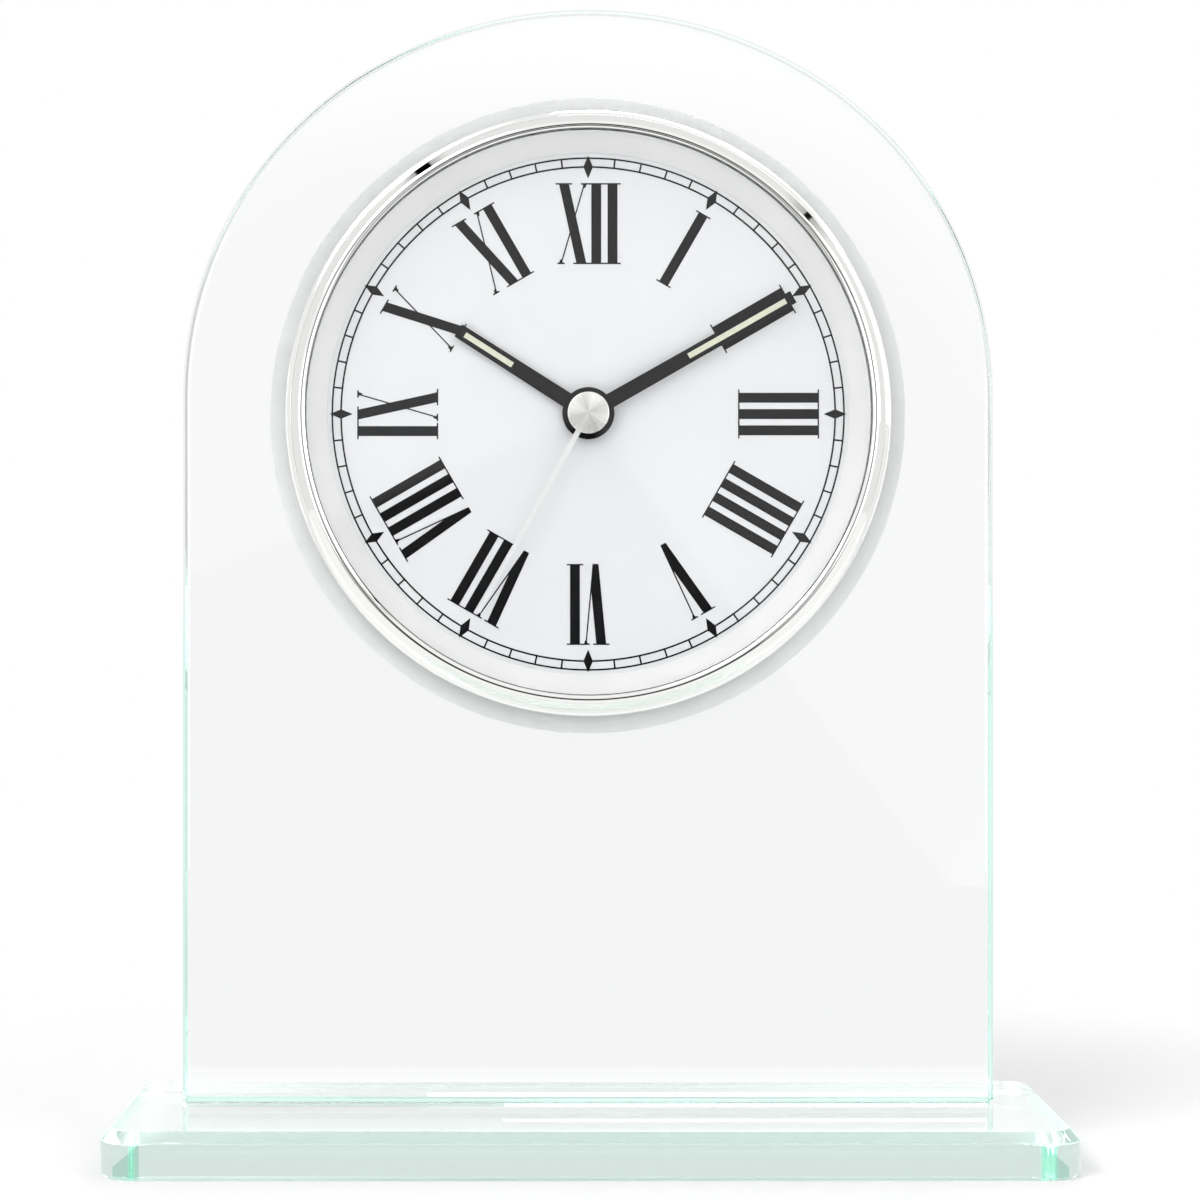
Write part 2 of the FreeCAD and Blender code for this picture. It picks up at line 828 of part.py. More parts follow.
class Wheel:
    """A toothed wheel: its teeth, module, centre (x, z) from the dial's centre, and the angle of
    one tooth, in radians clockwise from the top as seen from the front."""

    def __init__(self, teeth, module, x=0, z=0, angle=0.0):
        self.teeth = teeth
        self.module = module
        self.x = term(x)
        self.z = term(z)
        self.angle = angle

    def toothed(self, front, back):
        """Toothed disc from front to back, about its own centre."""
        module = self.module.value
        pitch = self.teeth * module / 2
        rings = [
            (pitch - DEDENDUM_SHARE * module, TOOTH_ROOT_SHARE),
            (pitch, TOOTH_PITCH_SHARE),
            (pitch + ADDENDUM_SHARE * module, TOOTH_TIP_SHARE),
        ]
        step = 2 * math.pi / self.teeth
        points = []
        for tooth in range(self.teeth):
            middle = self.angle + tooth * step
            flank = [(radius, middle - step * share / 2) for radius, share in rings]
            flank += [(radius, middle + step * share / 2) for radius, share in reversed(rings)]
            points += [(radius * math.sin(turn), radius * math.cos(turn)) for radius, turn in flank]
        solid = flat_face(points).extrude(vec(0, back - front, 0))
        solid.translate(vec(0, front, 0))
        return solid


def mesh_angle(driver, teeth, x, z):
    """Angle of a tooth on a wheel at (x, z) that sets its gap against a tooth of driver."""
    heading = math.atan2((x - driver.x).value, (z - driver.z).value)
    phase = (heading - driver.angle) * driver.teeth / (2 * math.pi)
    return heading + math.pi - (0.5 - phase) * 2 * math.pi / teeth


def meshed(driver, teeth, heading):
    """Wheel that meshes with driver on the side of heading, in degrees clockwise from the top."""
    reach = driver.module * ((driver.teeth + teeth) / 2)
    x = driver.x + reach * math.sin(math.radians(heading))
    z = driver.z + reach * math.cos(math.radians(heading))
    return Wheel(teeth, driver.module, x, z, mesh_angle(driver, teeth, x, z))


def below(wheel, teeth, module, partner=None):
    """Wheel on the same axis as another, set to mesh with its partner."""
    angle = mesh_angle(partner, teeth, wheel.x, wheel.z) if partner else 0.0
    return Wheel(teeth, module, wheel.x, wheel.z, angle)


CANNON_TEETH, MOTION_TEETH = 10, 30
MOTION_PINION_TEETH, HOUR_TEETH = 8, 32
SETTING_TEETH = 15
ROTOR_TEETH, STEP_TEETH = 8, 48
STEP_PINION_TEETH, SECONDS_TEETH = 10, 50
SECONDS_PINION_TEETH, THIRD_TEETH = 8, 60
THIRD_PINION_TEETH, CENTRE_TEETH = 8, 64
MOTION_HEADING = 315.0
SETTING_HEADING = 340.0
THIRD_HEADING = 280.0
STEP_HEADING = 30.0
ROTOR_HEADING = 70.0

cannon = Wheel(CANNON_TEETH, s.motion_module)
motion = meshed(cannon, MOTION_TEETH, MOTION_HEADING)
motion_pinion = below(motion, MOTION_PINION_TEETH, s.motion_module)
hour = below(cannon, HOUR_TEETH, s.motion_module, motion_pinion)
setting = meshed(motion, SETTING_TEETH, SETTING_HEADING)
seconds = Wheel(SECONDS_TEETH, s.seconds_module)
seconds_pinion = below(seconds, SECONDS_PINION_TEETH, s.third_module)
third = meshed(seconds_pinion, THIRD_TEETH, THIRD_HEADING)
third_pinion = below(third, THIRD_PINION_TEETH, s.centre_module)
centre = below(seconds, CENTRE_TEETH, s.centre_module, third_pinion)
step_pinion = meshed(seconds, STEP_PINION_TEETH, STEP_HEADING)
step = below(step_pinion, STEP_TEETH, s.rotor_module)
rotor = meshed(step, ROTOR_TEETH, ROTOR_HEADING)

# Levels of the wheels along the depth

hour_wheel_front = movement_front + s.hour_wheel_level
hour_wheel_back = hour_wheel_front + s.motion_thickness
motion_wheel_front = movement_front + s.motion_wheel_level
motion_wheel_back = motion_wheel_front + s.motion_thickness
deck_front = movement_front + s.deck_front
deck_back = deck_front + s.deck_thickness
bridge_front = movement_front + s.bridge_front
bridge_back = bridge_front + s.bridge_thickness
centre_wheel_front = movement_front + s.centre_wheel_level
centre_wheel_back = centre_wheel_front + s.wheel_thickness
clutch_front = centre_wheel_back + s.running_fit
clutch_back = clutch_front + s.clutch_thickness
third_wheel_front = movement_front + s.third_wheel_level
seconds_wheel_front = movement_front + s.seconds_wheel_level
step_wheel_front = movement_front + s.step_wheel_level
magnet_front = movement_front + s.magnet_level

hour_hand_back = dial_front - s.hour_hand_lift
minute_hand_back = dial_front - s.minute_hand_lift
second_hand_back = dial_front - s.second_hand_lift
hour_hand_front = hour_hand_back - s.hand_thickness
minute_hand_front = minute_hand_back - s.hand_thickness
second_hand_front = second_hand_back - s.second_hand_thickness

floor_pivot = tray_floor - s.pivot_depth
deck_pivot = deck_back - s.pivot_depth
bridge_pivot = bridge_back - s.pivot_end_gap


def spindle(radius, front, back):
    """Plain round bar along the depth, about its own centre."""
    return Part.makeCylinder(radius.value, (back - front).value, vec(0, front, 0), vec(0, 1, 0))


def wheel_solid(label, wheel, pieces, bore=None):
    """Joins the pieces of one wheel, bores it through and sets it on its axis."""
    solid = pieces[0].multiFuse(pieces[1:]) if len(pieces) > 1 else pieces[0]
    if bore:
        box = solid.BoundBox
        tool = Part.makeCylinder(bore.value, box.YLength, FreeCAD.Vector(0, box.YMin, 0), vec(0, 1, 0))
        solid = solid.cut(tool)
    solid_feature(label, solid.removeSplitter(), wheel.x, 0, s.dial_height + wheel.z)


def pinion(wheel, partner_front, thickness):
    """Toothed disc a little deeper than the wheel that it meshes with."""
    return wheel.toothed(partner_front - s.pinion_overlap, partner_front + thickness + s.pinion_overlap)


def motion_work():
    """Wheels that turn the hour hand once for twelve turns of the minute hand."""
    pipe_front = hour_hand_front - s.arbor_stub
    pipe = spindle(hour_pipe, pipe_front, hour_wheel_back)
    wheel_solid("hour_wheel", hour, [hour.toothed(hour_wheel_front, hour_wheel_back), pipe], hour_bore)

    arbor = spindle(s.motion_arbor_radius, floor_pivot, deck_back - s.arbor_recess)
    small = pinion(motion_pinion, hour_wheel_front, s.motion_thickness)
    neck = spindle(hour_bore, hour_wheel_back + s.pinion_overlap, motion_wheel_front)
    large = motion.toothed(motion_wheel_front, motion_wheel_back)
    wheel_solid("motion_wheel", motion, [arbor, small, neck, large])

    tube = spindle(minute_tube, minute_hand_front - s.arbor_stub, clutch_back + s.collar_height)
    leaves = pinion(cannon, motion_wheel_front, s.motion_thickness)
    near = spindle(s.collar_radius, deck_back + s.running_fit, centre_wheel_front - s.running_fit)
    far = spindle(s.collar_radius, clutch_back, clutch_back + s.collar_height)
    wheel_solid("minute_arbor", cannon, [tube, leaves, near, far], minute_bore)

    gear = setting.toothed(motion_wheel_front, motion_wheel_back)
    wheel_solid("setting_pinion", setting, [gear], s.setting_shaft_radius)


def going_train():
    """Wheels from the stepping rotor to the seconds hand and on to the minute arbor."""
    wheel_solid("centre_wheel", centre, [centre.toothed(centre_wheel_front, centre_wheel_back)], hour_bore)
    keep(washer("clutch_spring", minute_tube, s.clutch_radius, clutch_front, clutch_back), "clutch_spring")

    arbor = spindle(s.train_arbor_radius, deck_pivot, bridge_pivot)
    thick = s.wheel_thickness
    leaves = pinion(third_pinion, centre_wheel_front, thick)
    gear = third.toothed(third_wheel_front, third_wheel_front + thick)
    wheel_solid("third_wheel", third, [arbor, leaves, gear])

    post = spindle(s.seconds_arbor_radius, second_hand_front - s.arbor_stub, bridge_pivot)
    leaves = pinion(seconds_pinion, third_wheel_front, thick)
    gear = seconds.toothed(seconds_wheel_front, seconds_wheel_front + thick)
    wheel_solid("seconds_wheel", seconds, [post, leaves, gear])

    leaves = pinion(step_pinion, seconds_wheel_front, thick)
    gear = step.toothed(step_wheel_front, step_wheel_front + thick)
    wheel_solid("step_wheel", step, [arbor, leaves, gear])

    leaves = pinion(rotor, step_wheel_front, thick)
    magnet = spindle(s.magnet_radius, magnet_front, magnet_front + s.magnet_length)
    wheel_solid("rotor", rotor, [arbor, leaves, magnet])


# Plates and case of the movement; heights are measured from the dial's centre

def up(height):
    """Height above the table of a height measured from the dial's centre."""
    return s.dial_height + height


cavity_low = -(s.bay_top - s.case_wall)
battery_drop = s.bay_top + s.bay_clearance + s.battery_radius
bay_low = -(battery_drop + s.battery_radius + s.bay_clearance)
case_low = bay_low - s.case_wall
battery_depth = movement_front + s.bay_floor + s.bay_clearance + s.battery_radius
pillar_x = cavity_half - s.pillar_inset
lug_screw_x = movement_half + s.lug_screw_reach
shaft_fit = s.setting_shaft_radius + s.running_fit


def both(size):
    """A size to the left and to the right of the middle."""
    return (-size, size)


def hole(name, x, z, radius, front, back):
    """Tool for a hole along the depth that overruns both faces."""
    return rod(name, x, up(z), radius, front - s.overrun, back + s.overrun)


def movement_case():
    """Tray with a gear space above and a battery bay below, and its threaded centre boss."""
    front, back = movement_front, cover_front
    shell = block("case_shell", both(movement_half), (front, back), (up(case_low), up(movement_half)))
    solids = [shell, rod("case_boss", 0, up(0), boss_radius, front - s.centre_boss_length, back)]
    lug_low = s.lug_screw_rise - s.lug_height / 2
    lug_z = (up(lug_low), up(lug_low + s.lug_height))
    reach = movement_half + s.lug_reach
    solids.append(block("case_lugs", both(reach), (front, front + s.lug_thickness), lug_z))
    gear_z = (up(cavity_low), up(cavity_half))
    rear = back + s.overrun
    gear_space = block("case_gear_space", both(cavity_half), (tray_floor, rear), gear_z)
    bay_z = (up(bay_low), up(-s.bay_top))
    bay = block("case_bay", both(cavity_half), (front + s.bay_floor, rear), bay_z)
    tools = [gear_space, bay, hole("case_bore", 0, 0, boss_bore, front - s.centre_boss_length, back)]
    for name, x in (("left", -lug_screw_x), ("right", lug_screw_x)):
        radius = s.small_screw_radius + s.small_screw_fit
        tools.append(hole("case_lug_hole_" + name, x, s.lug_screw_rise, radius, front, back))
    pivots = [("motion", motion, s.motion_arbor_radius), ("shaft", setting, s.setting_shaft_radius)]
    bottom = floor_pivot - s.pivot_end_gap
    for name, wheel, radius in pivots:
        tools.append(rod("case_pivot_" + name, wheel.x, up(wheel.z), radius + s.running_fit, bottom, back))
    hollow = cut("case_hollow", join("case_body", solids), tools)
    pillars = [hollow]
    for side, x in (("left", -pillar_x), ("right", pillar_x)):
        for end, z in (("low", cavity_low + s.pillar_inset), ("high", pillar_x)):
            name = "case_pillar_%s_%s" % (side, end)
            pillars.append(rod(name, x, up(z), s.pillar_radius, tray_floor, deck_front))
    keep(join("movement_case", pillars), "movement_case")


def movement_cover():
    """Lid of the tray, open over the battery."""
    lid_z = (up(case_low), up(movement_half))
    lid = block("cover_lid", both(movement_half), (cover_front, movement_back), lid_z)
    room = battery_half + s.bay_clearance * 2
    rear = (cover_front - s.overrun, movement_back + s.overrun)
    bay = block("cover_bay", both(room), rear, (up(bay_low), up(-s.bay_top)))
    shaft = hole("cover_shaft_hole", setting.x, setting.z, shaft_fit, cover_front, movement_back)
    keep(cut("movement_cover", lid, [bay, shaft]), "movement_cover")


def train_deck():
    """Plate between the motion work and the going train, with the posts that carry the bridge and
    the stator."""
    half = cavity_half - s.case_fit
    deck_z = (up(cavity_low + s.case_fit), up(half))
    solids = [block("deck_plate", both(half), (deck_front, deck_back), deck_z)]
    for k, (x, z) in enumerate(bridge_posts()):
        solids.append(rod("deck_post_%d" % k, x, up(z), s.post_radius, deck_back, bridge_front))
    for k, (x, z) in enumerate(stator_posts()):
        solids.append(rod("deck_stator_post_%d" % k, x, up(z), s.post_radius, deck_back, stator_front))
    pivot = s.train_arbor_radius + s.running_fit
    blind = deck_pivot - s.pivot_end_gap
    tools = [hole("deck_centre_hole", 0, 0, hour_bore, deck_front, deck_back)]
    tools.append(hole("deck_shaft_hole", setting.x, setting.z, shaft_fit, deck_front, deck_back))
    arbor_hole = s.motion_arbor_radius + s.running_fit
    tools.append(rod("deck_motion_pivot", motion.x, up(motion.z), arbor_hole, deck_front - s.overrun,
                     deck_back - s.pivot_end_gap))
    for name, wheel in (("third", third), ("step", step), ("rotor", rotor)):
        tools.append(rod("deck_pivot_" + name, wheel.x, up(wheel.z), pivot, blind, deck_back + s.overrun))
    keep(cut("train_deck", join("deck_body", solids), tools), "train_deck")


def bridge_posts():
    """Places of the four posts under the bridge."""
    inset = s.post_radius + s.post_inset
    left, right = inset - s.bridge_left, s.bridge_right - inset
    low, high = inset - s.bridge_low, s.bridge_high - inset
    return [(left, high), (left, low), (s.bridge_foot_x, low), (right, s.bridge_foot_z)]


def train_bridge():
    """Plate that carries the rear pivots of the going train."""
    plate = block("bridge_plate", (-s.bridge_left, s.bridge_right), (bridge_front, bridge_back),
                  (up(-s.bridge_low), up(s.bridge_high)))
    pivot = s.train_arbor_radius + s.running_fit
    tools = [hole("bridge_pivot_" + name, wheel.x, wheel.z, pivot, bridge_front, bridge_back)
             for name, wheel in (("third", third), ("step", step), ("rotor", rotor))]
    tools.append(hole("bridge_centre", 0, 0, minute_bore, bridge_front, bridge_back))
    keep(cut("train_bridge", plate, tools), "train_bridge")


# Motor and circuit

stator_front = movement_front + s.stator_level
stator_back = stator_front + s.stator_thickness
core_back = stator_back + s.core_thickness
coil_z = (s.core_low + s.core_high) / 2
coil_y = (stator_back + core_back) / 2
bobbin_left = s.stator_left + s.stator_limb_width + s.bobbin_end_gap
bobbin_right = s.stator_right - s.stator_limb_width - s.bobbin_end_gap
board_back = bridge_back + s.board_thickness


def stator_posts():
    """Places of the two posts under the stator."""
    bar_z = (s.stator_low + s.stator_bar_top) / 2
    limb_x = s.stator_left + s.stator_limb_width / 2
    return [(s.stator_right - s.stator_limb_width, bar_z), (limb_x, (s.stator_bar_top + s.core_low) / 2)]


def stator():
    """Iron plate round the rotor, with two limbs up to the coil's core."""
    depth = (stator_front, stator_back)
    limb_z = (up(s.stator_low), up(s.stator_top))
    bar_z = (up(s.stator_low), up(s.stator_bar_top))
    bar_part = block("stator_bar", (s.stator_left, s.stator_right), depth, bar_z)
    left = block("stator_left_limb", (s.stator_left, s.stator_left + s.stator_limb_width), depth, limb_z)
    right_x = (s.stator_right - s.stator_limb_width, s.stator_right)
    right = block("stator_right_limb", right_x, depth, limb_z)
    room = hole("stator_hole", rotor.x, rotor.z, s.magnet_radius + s.rotor_gap, stator_front, stator_back)
    keep(cut("stator", join("stator_body", [bar_part, left, right]), [room]), "stator")


def coil():
    """Iron core, plastic bobbin and copper winding."""
    core = block("coil_core_bar", (s.stator_left, s.stator_right), (stator_back, core_back),
                 (up(s.core_low), up(s.core_high)))
    keep(core, "coil_core")
    z = up(coil_z)
    inner_left, inner_right = bobbin_left + s.bobbin_flange, bobbin_right - s.bobbin_flange
    solids = [
        bar("bobbin_tube", coil_y, z, s.bobbin_tube_radius, bobbin_left, bobbin_right),
        bar("bobbin_left_flange", coil_y, z, s.bobbin_flange_radius, bobbin_left, inner_left),
        bar("bobbin_right_flange", coil_y, z, s.bobbin_flange_radius, inner_right, bobbin_right),
    ]
    slot = block("bobbin_slot", (bobbin_left - s.overrun, bobbin_right + s.overrun),
                 (stator_back - s.bobbin_fit, core_back + s.bobbin_fit),
                 (up(s.core_low - s.bobbin_fit), up(s.core_high + s.bobbin_fit)))
    keep(cut("coil_bobbin", join("bobbin_body", solids), [slot]), "coil_bobbin")
    wire = bar("winding_solid", coil_y, z, s.winding_radius, inner_left, inner_right)
    room = bar("winding_room", coil_y, z, s.bobbin_tube_radius, inner_left, inner_right)
    keep(cut("coil_winding", wire, [room]), "coil_winding")


def circuit():
    """Circuit board on the bridge, with its quartz can and its chip."""
    board = block("board_plate", (-s.board_left, s.board_right), (bridge_back, board_back),
                  (up(-s.board_low), up(s.board_high)))
    keep(board, "circuit_board")
    left = s.can_x - s.can_length / 2
    can_y = board_back + s.can_radius
    can = bar("quartz_can_solid", can_y, up(s.can_z), s.can_radius, left, left + s.can_length)
    keep(can, "quartz_can")
    chip_back = board_back + s.chip_height
    keep(rod("chip_solid", s.chip_x, up(s.chip_z), s.chip_radius, board_back, chip_back), "chip")


# Battery and contacts

def battery():
    """AA cell lying across the bay, its button to the right."""
    half = battery_half
    body_right = half - s.battery_nub_length
    shoulder = s.battery_radius - s.battery_chamfer
    points = [
        (-half, 0),
        (half, 0),
        (half, s.battery_nub_radius),
        (body_right, s.battery_nub_radius),
        (body_right, shoulder),
        (body_right - s.battery_chamfer, s.battery_radius),
        (s.battery_chamfer - half, s.battery_radius),
        (-half, shoulder),
    ]
    keep(turned("battery", points, y=battery_depth, z=-battery_drop, axis="H_Axis"), "battery")


def contact(label, side):
    """Springy strip bent towards one end of the battery; side is 1 at the right, -1 at the left."""
    wall = cavity_half
    crown = battery_half + s.running_fit + s.contact_thickness
    bend, tip = s.contact_crown / 2 + s.contact_rise, s.contact_crown / 2
    end = bend + s.contact_foot
    path = [(wall, -end), (wall, -bend), (crown, -tip), (crown, tip), (wall, bend), (wall, end)]
    back = [(x - s.contact_thickness, y) for x, y in reversed(path)]
    points = [(x * side, y) for x, y in path + back]
    body = new_body(label)
    sketch = new_sketch(body, "XY_Plane", label + "_path")
    outline(sketch, points)
    pad = body.newObject("PartDesign::Pad", label + "_pad")
    pad.Profile = sketch
    pad.Midplane = True
    bind(pad, "Length", s.contact_height)
    keep(place(body, 0, battery_depth, up(-battery_drop)), label)


# Carrier, housing and their screws

SCREW_SIDES = {"right": (1, 0), "top": (0, 1), "left": (-1, 0), "bottom": (0, -1)}

boss_meeting = carrier_back + s.carrier_boss_height
screw_seat = cup_back - s.screw_head_sink - s.screw_head_height
screw_tip = boss_meeting - s.screw_grip


def screw_places():
    for side, (right, top) in SCREW_SIDES.items():
        yield side, screw_circle_radius * right, screw_circle_radius * top


def dial_carrier():
    """Plate behind the dial: the bezel is crimped over it, and the housing screws into it."""
    solids = [rod("carrier_plate", 0, up(0), crystal_radius, dial_back, carrier_back)]
    tools = [hole("carrier_centre_hole", 0, 0, boss_hole, dial_back, carrier_back)]
    thread = s.screw_radius + s.small_screw_fit
    boss = s.screw_boss_radius
    bottom = screw_tip - s.pivot_end_gap
    for side, x, z in screw_places():
        solids.append(rod("carrier_boss_" + side, x, up(z), boss, carrier_back, boss_meeting))
        tools.append(rod("carrier_thread_" + side, x, up(z), thread, bottom, boss_meeting + s.overrun))
    thread = s.small_screw_radius + s.small_screw_fit
    for side, x in (("left", -lug_screw_x), ("right", lug_screw_x)):
        name = "carrier_small_thread_" + side
        tools.append(hole(name, x, s.lug_screw_rise, thread, dial_back, carrier_back))
    keep(cut("dial_carrier", join("carrier_body", solids), tools), "dial_carrier")


CROSS_SHARE = 0.6


def cross_screw(label, x, z, head_radius, head_front, head_height, radius, tip):
    """Screw with a round head and a crossed recess, driven from behind."""
    height = up(z)
    head_back = head_front + head_height
    head = rod(label + "_head", x, height, head_radius, head_front, head_back)
    shank = rod(label + "_shank", x, height, radius, tip, head_front)
    arm, wing = head_radius * CROSS_SHARE, s.slot_width / 2
    depth = (head_back - s.slot_depth, head_back + s.overrun)
    level_slot = block(label + "_level_slot", (x - arm, x + arm), depth, (height - wing, height + wing))
    upright_slot = block(label + "_upright_slot", (x - wing, x + wing), depth, (height - arm, height + arm))
    keep(cut(label, join(label + "_blank", [head, shank]), [level_slot, upright_slot]), label)


def screws():
    for side, x, z in screw_places():
        cross_screw("housing_screw_" + side, x, z, s.screw_head_radius, screw_seat, s.screw_head_height,
                    s.screw_radius, screw_tip)
    head_front = movement_front + s.lug_thickness
    for side, x in (("left", -lug_screw_x), ("right", lug_screw_x)):
        cross_screw("movement_screw_" + side, x, s.lug_screw_rise, s.small_head_radius, head_front,
                    s.small_head_height, s.small_screw_radius, dial_back + s.small_screw_tip_gap)


flange_front = pane_back + s.rear_washer_thickness
flange_back = flange_front + s.flange_thickness
door_half = battery_half + s.door_margin
door_high = s.door_lap - s.bay_top
hinge_z = bay_low - s.hinge_drop
hinge_y = (cup_inside + cup_back) / 2
hinge_radius = s.cup_back_wall / 2


def rear_washer():
    inner = pane_hole_radius + s.pane_arris
    keep(washer("rear_washer", inner, rear_flange_radius, pane_back, flange_front), "rear_washer")


def rear_housing():
    """Moulded cup behind the pane: flange, spigot in the hole, screw tubes and door opening."""
    spigot_outer = pane_hole_radius - s.spigot_clearance
    spigot_inner = spigot_outer - s.spigot_wall
    spigot_front = flange_front - s.spigot_length
    points = [
        (cup_inner, flange_front),
        (spigot_inner, flange_front),
        (spigot_inner, spigot_front),
        (spigot_outer, spigot_front),
        (spigot_outer, flange_front),
        (rear_flange_radius, flange_front),
        (rear_flange_radius, flange_back),
        (cup_radius, flange_back),
        (cup_radius, cup_back - s.cup_round),
        (cup_radius - s.cup_round, cup_back),
        (0, cup_back),
        (0, cup_inside),
        (cup_inner, cup_inside),
    ]
    solids = [turned("housing_cup", points, {8: s.cup_round})]
    tools = []
    for side, x, z in screw_places():
        solids.append(rod("housing_tube_" + side, x, up(z), s.screw_boss_radius, boss_meeting, cup_back))
        clear = s.screw_radius + s.screw_clearance
        tools.append(hole("housing_screw_hole_" + side, x, z, clear, boss_meeting, cup_back))
        room = s.screw_head_radius + s.screw_clearance
        tools.append(rod("housing_head_room_" + side, x, up(z), room, screw_seat, cup_back + s.overrun))
    wall = (cup_inside - s.overrun, cup_back + s.overrun)
    door_z = (up(hinge_z - hinge_radius - s.door_gap), up(door_high + s.door_gap))
    tools.append(block("housing_door_opening", both(door_half + s.door_gap), wall, door_z))
    pin = door_half + s.hinge_pin_length + s.pivot_end_gap
    pin_hole = s.hinge_pin_radius + s.hinge_clearance
    tools.append(bar("housing_pin_hole", hinge_y, up(hinge_z), pin_hole, -pin, pin))
    knob_hole = s.setting_shaft_radius + s.knob_hole_clearance
    tools.append(hole("housing_shaft_hole", setting.x, setting.z, knob_hole, cup_inside, cup_back))
    keep(cut("rear_housing", join("housing_body", solids), tools), "rear_housing")


RIBS = 4


def battery_door():
    """Flap that turns on a barrel along its lower edge, with a finger notch and gripping ribs."""
    slab = block("door_slab", both(door_half), (cup_inside, cup_back), (up(hinge_z), up(door_high)))
    barrel = bar("door_barrel", hinge_y, up(hinge_z), hinge_radius, -door_half, door_half)
    pin = door_half + s.hinge_pin_length
    solids = [slab, barrel, bar("door_pins", hinge_y, up(hinge_z), s.hinge_pin_radius, -pin, pin)]
    notch_z = door_high - s.notch_radius
    for k in range(RIBS):
        z = notch_z - s.rib_drop - s.rib_pitch * k
        depth = (cup_back, cup_back + s.rib_height)
        solids.append(block("door_rib_%d" % k, both(s.rib_length / 2), depth, (up(z), up(z + s.rib_width))))
    notch_y = cup_back + s.notch_radius - s.notch_depth
    notch = bar("door_notch", notch_y, up(notch_z), s.notch_radius, -s.notch_width / 2, s.notch_width / 2)
    keep(cut("battery_door", join("door_body", solids), [notch]), "battery_door")


KNURLS = 28


def setting_knob():
    """Knurled knob on the shaft that turns the hands."""
    body = turned("setting_knob", [
        (0, floor_pivot),
        (s.setting_shaft_radius, floor_pivot),
        (s.setting_shaft_radius, knob_front),
        (s.knob_radius, knob_front),
        (s.knob_radius, knob_back - s.knob_round),
        (s.knob_radius - s.knob_round, knob_back),
        (0, knob_back),
    ], {4: s.knob_round}, x=setting.x, z=setting.z)
    sketch = new_sketch(body, "XZ_Plane", "knob_groove")
    ring(sketch, 0, s.knob_radius, s.knob_groove_radius, "groove")
    groove = body.newObject("PartDesign::Pocket", "knob_groove_cut")
    groove.Profile = sketch
    groove.Type = "ThroughAll"
    groove.Midplane = True
    doc.recompute()
    pattern = body.newObject("PartDesign::PolarPattern", "knob_grooves")
    pattern.Originals = [groove]
    pattern.Axis = (sketch, ["N_Axis"])
    pattern.Angle = 360
    pattern.Occurrences = KNURLS
    body.Tip = pattern
    keep(body, "setting_knob")


# Hands

def hand_body(label, back, thickness, angle):
    body = new_body(label)
    place(body, 0, back - thickness, up(0), clockwise(angle))
    return body, new_sketch(body, "XZ_Plane", label + "_outline")


def hand_outline(sketch, hub, root_width, blade, bore):
    """Hub and blade; the blade is listed from its root up the left side, as (half width, reach)."""
    half = root_width / 2
    neck = root(hub * hub - half * half)
    left = [(-half, neck)] + [(-width, reach) for width, reach in blade]
    right = [(width, reach) for width, reach in reversed(blade)] + [(half, neck)]
    points = left + right + [(hub, 0), (0, -hub), (-hub, 0)]
    first_arc = len(left + right) - 1
    outline(sketch, points, {first_arc + k: -hub for k in range(4)})
    ring(sketch, 0, 0, bore, "bore")


def pad_hand(body, sketch, label, thickness):
    pad = body.newObject("PartDesign::Pad", label + "_pad")
    pad.Profile = sketch
    pad.Reversed = True
    bind(pad, "Length", thickness)
    keep(body, label)


def main_hand(label, back, angle, hub, widths, length, paste, bore):
    """Baton hand with a strip of luminous paste let into it; paste is the strip's length and its
    distance from the hand's tip."""
    body, sketch = hand_body(label + "_hand", back, s.hand_thickness, angle)
    root_width, tip_width = widths
    hand_outline(sketch, hub, root_width, [(tip_width / 2, length)], bore)
    half = s.paste_width / 2
    end = length - paste[1]
    start = end - paste[0]
    slot = [(-half, start), (half, start), (half, end), (-half, end)]
    outline(sketch, slot, tag="slot")
    pad_hand(body, sketch, label + "_hand", s.hand_thickness)
    body, sketch = hand_body(label + "_paste", back, s.hand_thickness, angle)
    outline(sketch, slot)
    pad_hand(body, sketch, label + "_paste", s.hand_thickness)


def hands():
    main_hand("hour", hour_hand_back, HOUR_ANGLE, s.hour_hub_radius, (s.hour_hand_root, s.hour_hand_tip),
              hour_hand_length, (s.hour_paste_length, s.hour_paste_margin), hour_pipe)
    main_hand("minute", minute_hand_back, MINUTE_ANGLE, s.minute_hub_radius,
              (s.minute_hand_root, s.minute_hand_tip), minute_hand_length,
              (s.minute_paste_length, s.minute_paste_margin), minute_tube)
    body, sketch = hand_body("second_hand", second_hand_back, s.second_hand_thickness, SECOND_ANGLE)
    tip = s.second_hand_tip / 2
    blade = [(tip, second_hand_length - s.second_taper_length), (tip, second_hand_length)]
    hand_outline(sketch, s.second_hub_radius, s.second_hand_root, blade, s.seconds_arbor_radius)
    pad_hand(body, sketch, "second_hand", s.second_hand_thickness)


def hand_cap():
    """Slightly domed button over the end of the seconds arbor."""
    bore_end = second_hand_front - s.arbor_stub - s.running_fit
    front = second_hand_front - s.cap_height
    flat = s.cap_radius - s.cap_round
    dome_radius = (flat * flat + s.cap_dome * s.cap_dome) / (s.cap_dome * 2)
    points = [
        (0, bore_end),
        (s.seconds_arbor_radius, bore_end),
        (s.seconds_arbor_radius, second_hand_front),
        (s.cap_radius, second_hand_front),
        (s.cap_radius, front + s.cap_round),
        (flat, front),
        (0, front - s.cap_dome),
    ]
    keep(turned("hand_cap", points, {4: -s.cap_round, 5: -dome_radius}), "hand_cap")


# Build

base_block()
glass_pane()
bond_film()
bezel()
crystal()
dial_surround()
front_washer()
dial()
minute_track()
hour_numerals()
dial_carrier()
rear_washer()
rear_housing()
screws()
battery_door()
movement_case()
movement_cover()
train_deck()
train_bridge()
stator()
coil()
circuit()
battery()
contact("contact_plus", 1)
contact("contact_minus", -1)
motion_work()
going_train()
setting_knob()
hands()
hand_cap()

